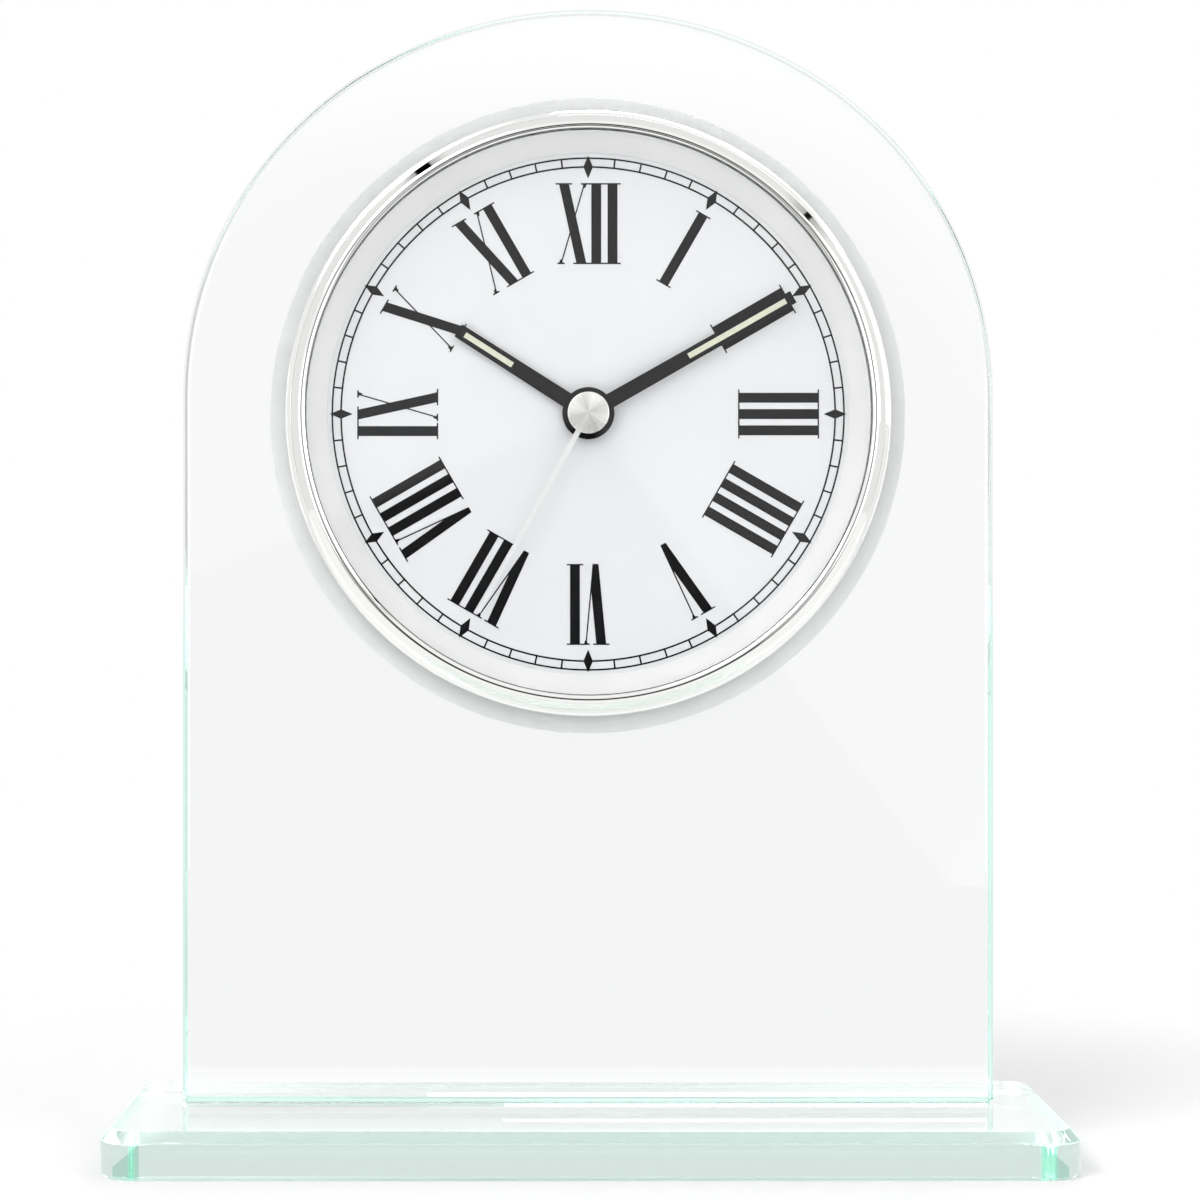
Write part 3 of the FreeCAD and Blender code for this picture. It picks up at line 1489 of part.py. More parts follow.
doc.recompute()
for item in doc.Objects:
    if {"Invalid", "Error"} & set(item.State):
        raise RuntimeError("%s did not build: %s" % (item.Name, item.State))
for item in NODES:
    if item.Shape.isNull() or not item.Shape.isValid():
        raise RuntimeError("%s has no valid shape" % item.Label)
    item.Shape.exportStep("parts/%s.step" % item.Label)
print("%d sub-parts written" % len(NODES))
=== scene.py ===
import math

import bpy
import numpy as np
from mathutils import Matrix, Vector


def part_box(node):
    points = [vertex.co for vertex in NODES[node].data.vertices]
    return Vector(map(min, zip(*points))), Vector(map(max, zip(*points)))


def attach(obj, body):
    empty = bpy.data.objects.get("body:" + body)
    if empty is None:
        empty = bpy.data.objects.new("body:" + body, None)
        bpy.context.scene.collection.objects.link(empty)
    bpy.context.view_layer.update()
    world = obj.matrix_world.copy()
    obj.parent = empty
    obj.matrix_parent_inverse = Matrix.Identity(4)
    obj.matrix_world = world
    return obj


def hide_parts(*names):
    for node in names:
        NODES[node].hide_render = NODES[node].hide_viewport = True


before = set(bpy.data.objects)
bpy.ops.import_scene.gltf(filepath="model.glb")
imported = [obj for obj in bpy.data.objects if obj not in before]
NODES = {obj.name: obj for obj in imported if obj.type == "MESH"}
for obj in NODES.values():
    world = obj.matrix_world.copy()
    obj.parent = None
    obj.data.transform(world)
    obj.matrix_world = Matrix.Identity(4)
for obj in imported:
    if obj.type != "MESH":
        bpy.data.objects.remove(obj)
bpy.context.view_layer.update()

# Arch-topped glass mantel clock: pieces, finishes and a plain pale studio.
# Sizes are in millimetres here and become metres when a mesh is written.

MM = 0.001
DIAL_Z = 129.5
BASE_CORNER, BASE_BEVEL, BASE_ARRIS = 6.0, 1.8, 0.5
CROWN_RADIUS, SHOULDER_RADIUS = 76.0, 67.0
HOLE_RADIUS, PANE_ARRIS = 51.5, 0.45
PANE_FRONT, BEZEL_PROJECTION = 1.2, 7.0


# Outlines and surfaces

def eased(corners, radii, closed=False, steps=5, margin=0.04):
    """Line through corners with each corner eased by its radius.

    An arc of radius r between sides that meet at angle t starts r / tan(t / 2) from the corner, and its
    centre lies r / sin(t / 2) from it along the bisector. One more point on each side, a margin before
    the arc, keeps the flats flat. Returns the points and their normals, to the right of travel.
    """
    corners = np.array(corners, float)
    spots, normals = [], []
    for k, (corner, radius) in enumerate(zip(corners, radii)):
        first, last = k == 0 and not closed, k == len(corners) - 1 and not closed
        back = corners[k - 1] - corner if not first else None
        ahead = corners[(k + 1) % len(corners)] - corner if not last else None
        if first or last:
            way = ahead if first else -back
            way = way / np.linalg.norm(way)
            spots.append(corner[None])
            normals.append(np.array([[way[1], -way[0]]]))
            continue
        back, ahead = back / np.linalg.norm(back), ahead / np.linalg.norm(ahead)
        before, after = np.array([-back[1], back[0]]), np.array([ahead[1], -ahead[0]])
        if not radius:
            spots.append(corner[None])
            normals.append(((before + after) / (1 + before @ after))[None])
            continue
        angle = math.acos(np.clip(back @ ahead, -1, 1))
        reach = radius / math.tan(angle / 2)
        middle = (back + ahead) / np.linalg.norm(back + ahead)
        centre = corner + middle * radius / math.sin(angle / 2)
        start, end = corner + back * reach - centre, corner + ahead * reach - centre
        share = np.linspace(0, 1, steps + 1)[:, None]
        turn = math.pi - angle
        arc = (start * np.sin((1 - share) * turn) + end * np.sin(share * turn)) / math.sin(turn)
        side = np.sign(start @ before)
        spots.append(np.vstack([centre + start + back * margin, centre + arc, centre + end + ahead * margin]))
        normals.append(np.vstack([before, arc / radius * side, after]))
    return np.vstack(spots), np.vstack(normals)


def bow(centre, radius, start, end, step=0.75):
    """Points and outward normals of a circular arc: centre + radius * (cos, sin), angles in degrees."""
    count = max(2, int(abs(end - start) / step) + 1)
    angle = np.radians(np.linspace(start, end, count))
    normals = np.stack([np.cos(angle), np.sin(angle)], 1)
    return np.array(centre, float) + radius * normals, normals


def surface(name, rows, ring=False):
    """Mesh through a grid of points, rows by columns, whose last column meets its first.

    ring joins the last row to the first. A row whose points coincide is a pole and becomes one point.
    The signed volume, the sum of a . (b x c) / 6 over the triangles, tells whether the faces look out.
    """
    rows = np.asarray(rows, float)
    count, columns, _ = rows.shape
    poles = np.ptp(rows, axis=1).max(axis=1) < 1e-9
    sizes = np.where(poles, 1, columns)
    starts = np.concatenate([[0], np.cumsum(sizes)[:-1]])
    points = np.concatenate([row[:size] for row, size in zip(rows, sizes)]) * MM
    column = np.arange(columns)
    following = (column + 1) % columns
    faces = []
    for k in range(count if ring else count - 1):
        a, b = k, (k + 1) % count
        low = [starts[a] + column * (not poles[a]), starts[a] + following * (not poles[a])]
        high = [starts[b] + following * (not poles[b]), starts[b] + column * (not poles[b])]
        corners = low[:1 if poles[a] else 2] + high[:1 if poles[b] else 2]
        faces += np.stack(corners, 1).tolist()
    fan = np.array([(f[0], f[k], f[k + 1]) for f in faces for k in range(1, len(f) - 1)])
    a, b, c = points[fan[:, 0]], points[fan[:, 1]], points[fan[:, 2]]
    if (a * np.cross(b, c)).sum() < 0:
        faces = [face[::-1] for face in faces]
    mesh = bpy.data.meshes.new(name)
    mesh.from_pydata(points.tolist(), [], faces)
    mesh.polygons.foreach_set("use_smooth", np.ones(len(faces), bool))
    mesh.update()
    piece = bpy.data.objects.new(name, mesh)
    bpy.context.scene.collection.objects.link(piece)
    return piece


def turned(name, section, steps=240, ring=True, x=0.0, z=DIAL_Z):
    """Surface of revolution about a line along Y: (radius, y) goes to (x + r sin a, y, z + r cos a)."""
    angle = np.linspace(0, 2 * math.pi, steps, endpoint=False)
    radius, depth = section[:, 0][:, None], section[:, 1][:, None]
    rows = np.stack([x + radius * np.sin(angle), depth + 0 * angle, z + radius * np.cos(angle)], 2)
    return surface(name, rows, ring)


# Glass base and pane

def bevelled_base():
    """Rounded rectangle carried up its section: at height z the plan is inset by i(z).

    Row = plan point - i * plan normal. The top and the underside close by shrinking their last row to
    the middle.
    """
    low, high = (np.array(corner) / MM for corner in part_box("base_block"))
    corners = [(low[0], low[1]), (high[0], low[1]), (high[0], high[1]), (low[0], high[1])]
    plan, normal = eased(corners, [BASE_CORNER] * 4, closed=True, steps=28, margin=0.1)
    section, _ = eased([(3.0, low[2]), (BASE_ARRIS, low[2]), (0, low[2] + BASE_ARRIS),
                        (0, high[2] - BASE_BEVEL), (BASE_BEVEL, high[2]), (3.0, high[2])],
                       [0, 0.15, 0.15, 0.12, 0.12, 0])
    rows = [np.column_stack([plan - inset * normal, np.full(len(plan), z)]) for inset, z in section]
    for end, at in ((rows[0], 0), (rows[-1], len(rows) + 3)):
        for share in (0.6, 0.3, 0.0):
            rows.insert(at, end * [share, share, 1])
            at += at > 0
    return surface("bevelled_base", rows)


def arch_outline(low, high):
    """Outline of the pane, anticlockwise from its left foot: sides, two shoulders and a crown.

    A shoulder and the crown meet where the line through their centres crosses both.
    """
    right, foot = high[0], low[2]
    step = CROWN_RADIUS - SHOULDER_RADIUS
    crown_z, shoulder_x = high[2] - CROWN_RADIUS, right - SHOULDER_RADIUS
    shoulder_z = crown_z + math.sqrt(step ** 2 - shoulder_x ** 2)
    meeting = math.degrees(math.acos(shoulder_x / step))
    feet, feet_normals = eased([(-right, foot + 20), (-right, foot), (right, foot), (right, foot + 20)],
                               [0, 0.7, 0.7, 0])
    parts = [
        (feet[1:-1], feet_normals[1:-1]),
        bow((shoulder_x, shoulder_z), SHOULDER_RADIUS, 0, meeting),
        bow((0, crown_z), CROWN_RADIUS, meeting, 180 - meeting),
        bow((-shoulder_x, shoulder_z), SHOULDER_RADIUS, 180 - meeting, 180),
    ]
    parts = [parts[0]] + [(spots[k > 1:], normals[k > 1:]) for k, (spots, normals) in enumerate(parts[1:], 1)]
    outline = np.vstack([spots for spots, _ in parts])
    return outline, np.vstack([normals for _, normals in parts])


def arched_pane():
    """Closed section carried round the dial's centre: the hole's wall, a face, the edge, the other face.

    Each outline point has a partner on the hole at the same angle about the dial's centre.
    """
    low, high = (np.array(corner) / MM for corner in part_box("glass_pane"))
    outline, normal = arch_outline(low, high)
    front, back, arris, ease = low[1], high[1], PANE_ARRIS, 0.06
    edge, _ = eased([(0.6, front), (arris, front), (0, front + arris), (0, back - arris), (arris, back),
                     (0.6, back)], [0, ease, ease, ease, ease, 0], steps=4, margin=0.02)
    hole, _ = eased([(2, back), (arris, back), (0, back - arris), (0, front + arris), (arris, front),
                     (2, front)], [0, ease, ease, ease, ease, 0], steps=4, margin=0.02)
    arm = outline - [0, DIAL_Z]
    arm = arm / np.linalg.norm(arm, axis=1)[:, None]
    rows = []
    for reach, y in edge:
        spots = outline - reach * normal
        rows.append(np.column_stack([spots[:, 0], np.full(len(spots), y), spots[:, 1]]))
    for reach, y in hole:
        spots = [0, DIAL_Z] + arm * (HOLE_RADIUS + reach)
        rows.append(np.column_stack([spots[:, 0], np.full(len(spots), y), spots[:, 1]]))
    return surface("arched_pane", rows, ring=True)


# Clock

def bezel_section():
    """Chromed roll, its lip over the crystal, and the skirt through the pane."""
    def arc(start, end, radius, steps):
        """Arc from start to end that bulges to the left of travel: its centre is to the right."""
        start, end = np.array(start), np.array(end)
        chord = end - start
        half = np.linalg.norm(chord) / 2
        side = np.array([chord[1], -chord[0]]) / (2 * half)
        centre = (start + end) / 2 + side * math.sqrt(radius ** 2 - half ** 2)
        first, last = start - centre, end - centre
        turn = math.acos(first @ last / radius ** 2)
        share = np.linspace(0, 1, steps + 1)[:, None]
        return centre + (first * np.sin((1 - share) * turn) + last * np.sin(share * turn)) / math.sin(turn)

    crest = PANE_FRONT - BEZEL_PROJECTION
    skirt, _ = eased([(49.2, crest + 0.7), (49.2, crest + 0.8), (50.1, crest + 0.8), (50.1, 3.0), (48.6, 3.0),
                      (48.6, 3.6), (51.1, 3.6), (51.1, 0.9), (53.2, 0.9), (53.2, 0)],
                     [0, 0, 0.05, 0.05, 0.1, 0.1, 0.1, 0.1, 0.15, 0])
    roll = arc((53.2, -0.7), (50.5, crest), 6.2, 24)
    lip = arc((50.5, crest), (49.2, crest + 0.35), 1.0, 14)
    return np.vstack([skirt[:-1], roll, lip[1:]])


def crystal_section():
    """Flat glass disc with a small polished arris."""
    section, _ = eased([(0, -5.0), (49.8, -5.0), (50.0, -4.8), (50.0, -3.5), (0, -3.5)],
                       [0, 0.08, 0.08, 0.05, 0])
    return section


def surround_section():
    """Sloping ring between the crystal and the dial, with a short upright foot."""
    section, _ = eased([(49.2, -3.5), (50.0, -3.5), (50.0, 1.0), (45.9, 1.0), (45.9, 0.65)],
                       [0.06, 0.05, 0.05, 0.03, 0.1], closed=True, margin=0.03)
    return section


def gasket_section():
    """Soft ring behind the pane, a hair's breadth from the glass, with rounded edges."""
    low, high = (np.array(corner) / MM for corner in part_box("rear_washer"))
    inner, outer, front, back = 51.95, high[0], low[1] + 0.02, high[1]
    section, _ = eased([(inner, front), (outer, front), (outer, back), (inner, back)], [0.1] * 4, closed=True)
    return section


def cap_section():
    """Spun cap: a low dome, y = front + dome * (r / rim) ** 2, over a rounded rim."""
    low, high = (np.array(corner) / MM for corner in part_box("hand_cap"))
    radius, front, back = high[0], low[1], high[1]
    share = np.linspace(0, 1, 16)[:, None]
    face = np.hstack([share * (radius - 0.22), front + 0.12 * share ** 2])
    turn = np.radians(np.linspace(6, 90, 8))[:, None]
    rim = np.hstack([radius - 0.22 + 0.22 * np.sin(turn), front + 0.34 - 0.22 * np.cos(turn)])
    return np.vstack([face, rim, [[radius, back - 0.02], [radius - 0.02, back], [0, back]]])


pieces = {
    "bevelled_base": (bevelled_base(), ["base_block"], "clock", "clear_glass"),
    "arched_pane": (arched_pane(), ["glass_pane"], "clock", "clear_glass"),
    "chrome_bezel": (turned("chrome_bezel", bezel_section(), 480), ["bezel"], "clock", "bezel_chrome"),
    "flat_crystal": (turned("flat_crystal", crystal_section(), 360, False), ["crystal"], "clock",
                     "crystal_glass"),
    "sloping_ring": (turned("sloping_ring", surround_section(), 480), ["dial_surround"], "clock",
                     "surround_satin"),
    "gasket": (turned("gasket", gasket_section(), 360), ["rear_washer"], "clock", "washer"),
    "spun_cap": (turned("spun_cap", cap_section(), 144, False), ["hand_cap"], "second", "cap_nickel"),
}
for piece, replaced, body, slot in pieces.values():
    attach(piece, body)
    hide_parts(*replaced)


# Effects that several finishes share

def add(tree, kind, settings=None, **sockets):
    """New shader node: settings are its own choices, sockets its inputs, each a value or a socket.

    A key such as n1 counts the inputs, and any other names one.
    """
    node = tree.nodes.new("ShaderNode" + kind)
    for key, value in (settings or {}).items():
        setattr(node, key, value)
    for key, value in sockets.items():
        place = int(key[1:]) if key[0] == "n" and key[1:].isdigit() else key.replace("_", " ")
        if isinstance(value, bpy.types.NodeSocket):
            tree.links.new(value, node.inputs[place])
        else:
            node.inputs[place].default_value = value
    return node


def maths(tree, operation, one, other=0.0):
    return add(tree, "Math", {"operation": operation}, n0=one, n1=other).outputs[0]


def ramp(tree, value, start, end, low=0.0, high=1.0, kind="LINEAR"):
    """Goes from low to high while the value goes from start to end, and stays there."""
    return add(tree, "MapRange", {"interpolation_type": kind}, Value=value, From_Min=start, From_Max=end,
               To_Min=low, To_Max=high).outputs[0]


def axes(tree, vector):
    """The X, Y and Z parts of a vector."""
    return add(tree, "SeparateXYZ", None, Vector=vector).outputs


def object_place(tree):
    return add(tree, "TexCoord").outputs["Object"]


def facing(tree):
    """X, Y and Z parts of the direction that the face looks in."""
    return axes(tree, add(tree, "NewGeometry").outputs["True Normal"])


def offsets(tree, centre_x, centre_z):
    """Distances across and up from a line along Y."""
    place = axes(tree, object_place(tree))
    return maths(tree, "SUBTRACT", place[0], centre_x), maths(tree, "SUBTRACT", place[2], centre_z)


def length(tree, across, rise):
    square = maths(tree, "ADD", maths(tree, "MULTIPLY", across, across), maths(tree, "MULTIPLY", rise, rise))
    return maths(tree, "SQRT", square)


def effect(name, inputs, output):
    """Node group with the given inputs, a dict of label to value, and one output."""
    tree = bpy.data.node_groups.new(name, "ShaderNodeTree")
    for label, value in inputs.items():
        kind = "NodeSocketColor" if isinstance(value, tuple) else "NodeSocketFloat"
        tree.interface.new_socket(label, in_out="INPUT", socket_type=kind).default_value = value
    kind = "NodeSocketColor" if output == "Colour" else "NodeSocketFloat"
    tree.interface.new_socket(output, in_out="OUTPUT", socket_type=kind)
    given = tree.nodes.new("NodeGroupInput")
    return tree, given.outputs, tree.nodes.new("NodeGroupOutput").inputs[0]


def cloud_effect():
    """Soft blotches: noise from 0.3 to 0.7 stretched between Low and High."""
    tree, given, out = effect("soft_blotches", {"Scale": 60.0, "Low": 0.0, "High": 1.0}, "Value")
    noise = add(tree, "TexNoise", Vector=object_place(tree), Scale=given["Scale"], Detail=3.0).outputs[0]
    tree.links.new(ramp(tree, noise, 0.3, 0.7, given["Low"], given["High"]), out)
    return tree


def tone_effect():
    """Two close tones mixed by soft blotches."""
    tree, given, out = effect("two_tones", {"Light": (1.0, 1.0, 1.0, 1.0), "Dark": (0.8, 0.8, 0.8, 1.0),
                                            "Scale": 40.0}, "Colour")
    noise = add(tree, "TexNoise", Vector=object_place(tree), Scale=given["Scale"], Detail=4.0).outputs[0]
    mixed = add(tree, "Mix", {"data_type": "RGBA"}, n0=ramp(tree, noise, 0.35, 0.65), n6=given["Light"],
                n7=given["Dark"])
    tree.links.new(mixed.outputs[2], out)
    return tree


def grain_effect():
    """Height of a spark-eroded mould surface: small cells broken up by finer noise."""
    tree, given, out = effect("moulded_grain", {"Scale": 1500.0, "Fineness": 3.0}, "Height")
    place = object_place(tree)
    cells = add(tree, "TexVoronoi", {"feature": "SMOOTH_F1"}, Vector=place, Scale=given["Scale"])
    finer = maths(tree, "MULTIPLY", given["Scale"], given["Fineness"])
    noise = add(tree, "TexNoise", Vector=place, Scale=finer, Detail=2.0)
    tree.links.new(maths(tree, "ADD", cells.outputs[0], maths(tree, "MULTIPLY", noise.outputs[0], 0.4)), out)
    return tree


def groove_effect():
    """Height of fine lathe grooves round a line along Y: noise of the distance from it over the pitch."""
    tree, given, out = effect("lathe_grooves", {"Centre X": 0.0, "Centre Z": DIAL_Z * MM, "Pitch": 0.00012},
                              "Height")
    radius = length(tree, *offsets(tree, given["Centre X"], given["Centre Z"]))
    turns = maths(tree, "DIVIDE", radius, given["Pitch"])
    uneven = add(tree, "TexNoise", {"noise_dimensions": "1D"}, W=turns, Scale=1.7, Detail=3.0)
    tree.links.new(uneven.outputs[0], out)
    return tree


def ring_effect():
    """1 inside a ring about the dial's axis, from Inner to Outer, with edges that fade over Fade."""
    tree, given, out = effect("painted_seam_shade", {"Inner": 0.049, "Outer": 0.0494, "Fade": 0.0001}, "Value")
    radius = length(tree, *offsets(tree, 0.0, DIAL_Z * MM))
    sides = []
    for one, other in ((radius, given["Inner"]), (given["Outer"], radius)):
        gap = maths(tree, "DIVIDE", maths(tree, "SUBTRACT", one, other), given["Fade"])
        sides.append(add(tree, "Clamp", None, Value=gap).outputs[0])
    tree.links.new(maths(tree, "MULTIPLY", *sides), out)
    return tree


def fan_effect():
    """Painted highlights and shade of a spun face, in light and dark sectors: 0.3 cos(4 a) plus noise of the
    angle a about the dial.
    """
    tree, given, out = effect("painted_spun_sheen", {"Turn": 0.4}, "Value")
    angle = maths(tree, "ADD", maths(tree, "ARCTAN2", *offsets(tree, 0.0, DIAL_Z * MM)), given["Turn"])
    wave = maths(tree, "COSINE", maths(tree, "MULTIPLY", angle, 4.0))
    uneven = add(tree, "TexNoise", {"noise_dimensions": "1D"}, W=angle, Scale=5.0, Detail=4.0).outputs[0]
    both = maths(tree, "ADD", maths(tree, "MULTIPLY", wave, 0.3), uneven)
    tree.links.new(add(tree, "Clamp", None, Value=both).outputs[0], out)
    return tree


def edge_effect():
    """1 on the pane's ground edges, fading out from the height Low to High: a mask for painted light and
    shade.
    """
    tree, given, out = effect("ground_edges_painted_light", {"Low": 0.085, "High": 0.105}, "Value")
    edge = maths(tree, "LESS_THAN", maths(tree, "ABSOLUTE", facing(tree)[1]), 0.9)
    height = axes(tree, object_place(tree))[2]
    low = ramp(tree, height, given["Low"], given["High"], 1.0, 0.0)
    tree.links.new(maths(tree, "MULTIPLY", edge, low), out)
    return tree


def rise_effect():
    """Grows from 0 at the height Low to 1 at High."""
    tree, given, out = effect("painted_rising_shade", {"Low": 0.08, "High": 0.18}, "Value")
    tree.links.new(ramp(tree, axes(tree, object_place(tree))[2], given["Low"], given["High"]), out)
    return tree


def rim_effect():
    """Upper or Lower on the base's sloping rims, a mask for painted shade: all round below, and above where
    they look sideways.
    """
    tree, given, out = effect("painted_rim_shade", {"Upper": 1.0, "Lower": 1.0}, "Value")
    look = facing(tree)
    above = maths(tree, "MULTIPLY", maths(tree, "GREATER_THAN", look[2], 0.3),
                  maths(tree, "GREATER_THAN", maths(tree, "ABSOLUTE", look[0]), 0.35))
    below = maths(tree, "MULTIPLY", maths(tree, "LESS_THAN", look[2], -0.3),
                  maths(tree, "GREATER_THAN", look[2], -0.9))
    both = maths(tree, "ADD", maths(tree, "MULTIPLY", above, given["Upper"]),
                 maths(tree, "MULTIPLY", below, given["Lower"]))
    tree.links.new(both, out)
    return tree


def wedge_effect():
    """1 in a wedge by each front corner of the base, a mask for painted shade.

    It begins at Start from the middle, and from the height Top it widens to Width over Depth.
    """
    tree, given, out = effect("painted_corner_shade", {"Start": 0.08, "Width": 0.003, "Top": 0.01, "Depth": 0.004},
                              "Value")
    place = axes(tree, object_place(tree))
    down = maths(tree, "DIVIDE", maths(tree, "SUBTRACT", given["Top"], place[2]), given["Depth"])
    wide = maths(tree, "MULTIPLY", add(tree, "Clamp", None, Value=down).outputs[0], given["Width"])
    past = maths(tree, "SUBTRACT", maths(tree, "ABSOLUTE", place[0]), given["Start"])
    within = maths(tree, "MULTIPLY", maths(tree, "GREATER_THAN", past, 0.0),
                   maths(tree, "LESS_THAN", past, wide))
    tree.links.new(maths(tree, "MULTIPLY", within, maths(tree, "LESS_THAN", facing(tree)[1], -0.5)), out)
    return tree


CLOUD, TONE, GRAIN, GROOVE = cloud_effect(), tone_effect(), grain_effect(), groove_effect()
PAINTED_SEAM_SHADE, PAINTED_SHEEN, PAINTED_EDGE_LIGHT, PAINTED_TOP_SHADE = ring_effect(), fan_effect(), edge_effect(), rise_effect()
PAINTED_RIM_SHADE, PAINTED_CORNER_SHADE = rim_effect(), wedge_effect()


# Finishes

def use(tree, group, **inputs):
    """Output of a shared effect in this tree, with these values at its inputs."""
    node = tree.nodes.new("ShaderNodeGroup")
    node.node_tree = group
    for key, value in inputs.items():
        node.inputs[key.replace("_", " ")].default_value = value
    return node.outputs[0]


def finish(name, light, dark=None, rough=(0.3, 0.4), metallic=0.0, tone_scale=40.0, bump=None,
           depth=0.00002, **shader_values):
    """Material whose colour drifts between two tones and whose roughness drifts between two values.

    bump is a shared height effect with its values, and depth the height in metres that it stands for.
    """
    material = bpy.data.materials.new(name)
    material.use_nodes = True
    tree = material.node_tree
    shader = tree.nodes["Principled BSDF"]
    dark = dark or tuple(0.94 * part for part in light)
    tone = use(tree, TONE, Light=(*light, 1), Dark=(*dark, 1), Scale=tone_scale)
    tree.links.new(tone, shader.inputs["Base Color"])
    tree.links.new(use(tree, CLOUD, Low=rough[0], High=rough[1]), shader.inputs["Roughness"])
    shader.inputs["Metallic"].default_value = metallic
    for key, value in shader_values.items():
        shader.inputs[key.replace("_", " ")].default_value = value
    if bump:
        group, values = bump
        relief = add(tree, "Bump", None, Height=use(tree, group, **values), Distance=depth)
        tree.links.new(relief.outputs[0], shader.inputs["Normal"])
    return material


def shade(slot, group, colour, direct=False, **values):
    """Let a mask draw a finish's colour toward another one.

    direct keeps the shade to what is seen straight on, without its images inside the glass.
    """
    tree = FINISHES[slot].node_tree
    mask = use(tree, group, **values)
    if direct:
        mask = maths(tree, "MULTIPLY", mask, add(tree, "LightPath").outputs["Is Camera Ray"])
    socket = tree.nodes["Principled BSDF"].inputs["Base Color"]
    before = socket.links[0].from_socket if socket.links else tuple(socket.default_value)
    mixed = add(tree, "Mix", {"data_type": "RGBA"}, n0=mask, n6=before, n7=(*colour, 1))
    tree.links.new(mixed.outputs[2], socket)


WHITE = (1.0, 1.0, 1.0, 1.0)
BOTTLE_GREEN = (0.18, 0.57, 0.45)


def glass(name, absorbed, density, index=1.52, painted_glow=(0.55, 0.76, 0.68)):
    """Polished glass, tinted by the length of the way through it.

    Rays reflected inside more than three times get a painted glow: the glass adds an emission in the edge's
    colour.
    """
    material = bpy.data.materials.new(name)
    material.use_nodes = True
    tree = material.node_tree
    shader, output = tree.nodes["Principled BSDF"], tree.nodes["Material Output"]
    for key, value in (("Base Color", WHITE), ("Roughness", 0.0), ("Metallic", 0.0), ("IOR", index),
                       ("Transmission Weight", 1.0)):
        shader.inputs[key].default_value = value
    tint = add(tree, "VolumeAbsorption", None, Color=(*absorbed, 1), Density=density)
    tree.links.new(tint.outputs[0], output.inputs["Volume"])
    # Painted glow: an emission in the edge's colour on rays reflected inside more than three times
    trapped = maths(tree, "GREATER_THAN", add(tree, "LightPath").outputs["Glossy Depth"], 3.5)
    glow = add(tree, "Emission", None, Color=(*painted_glow, 1), Strength=trapped)
    both = add(tree, "AddShader", None, n0=shader.outputs[0], n1=glow.outputs[0])
    tree.links.new(both.outputs[0], output.inputs["Surface"])
    return material


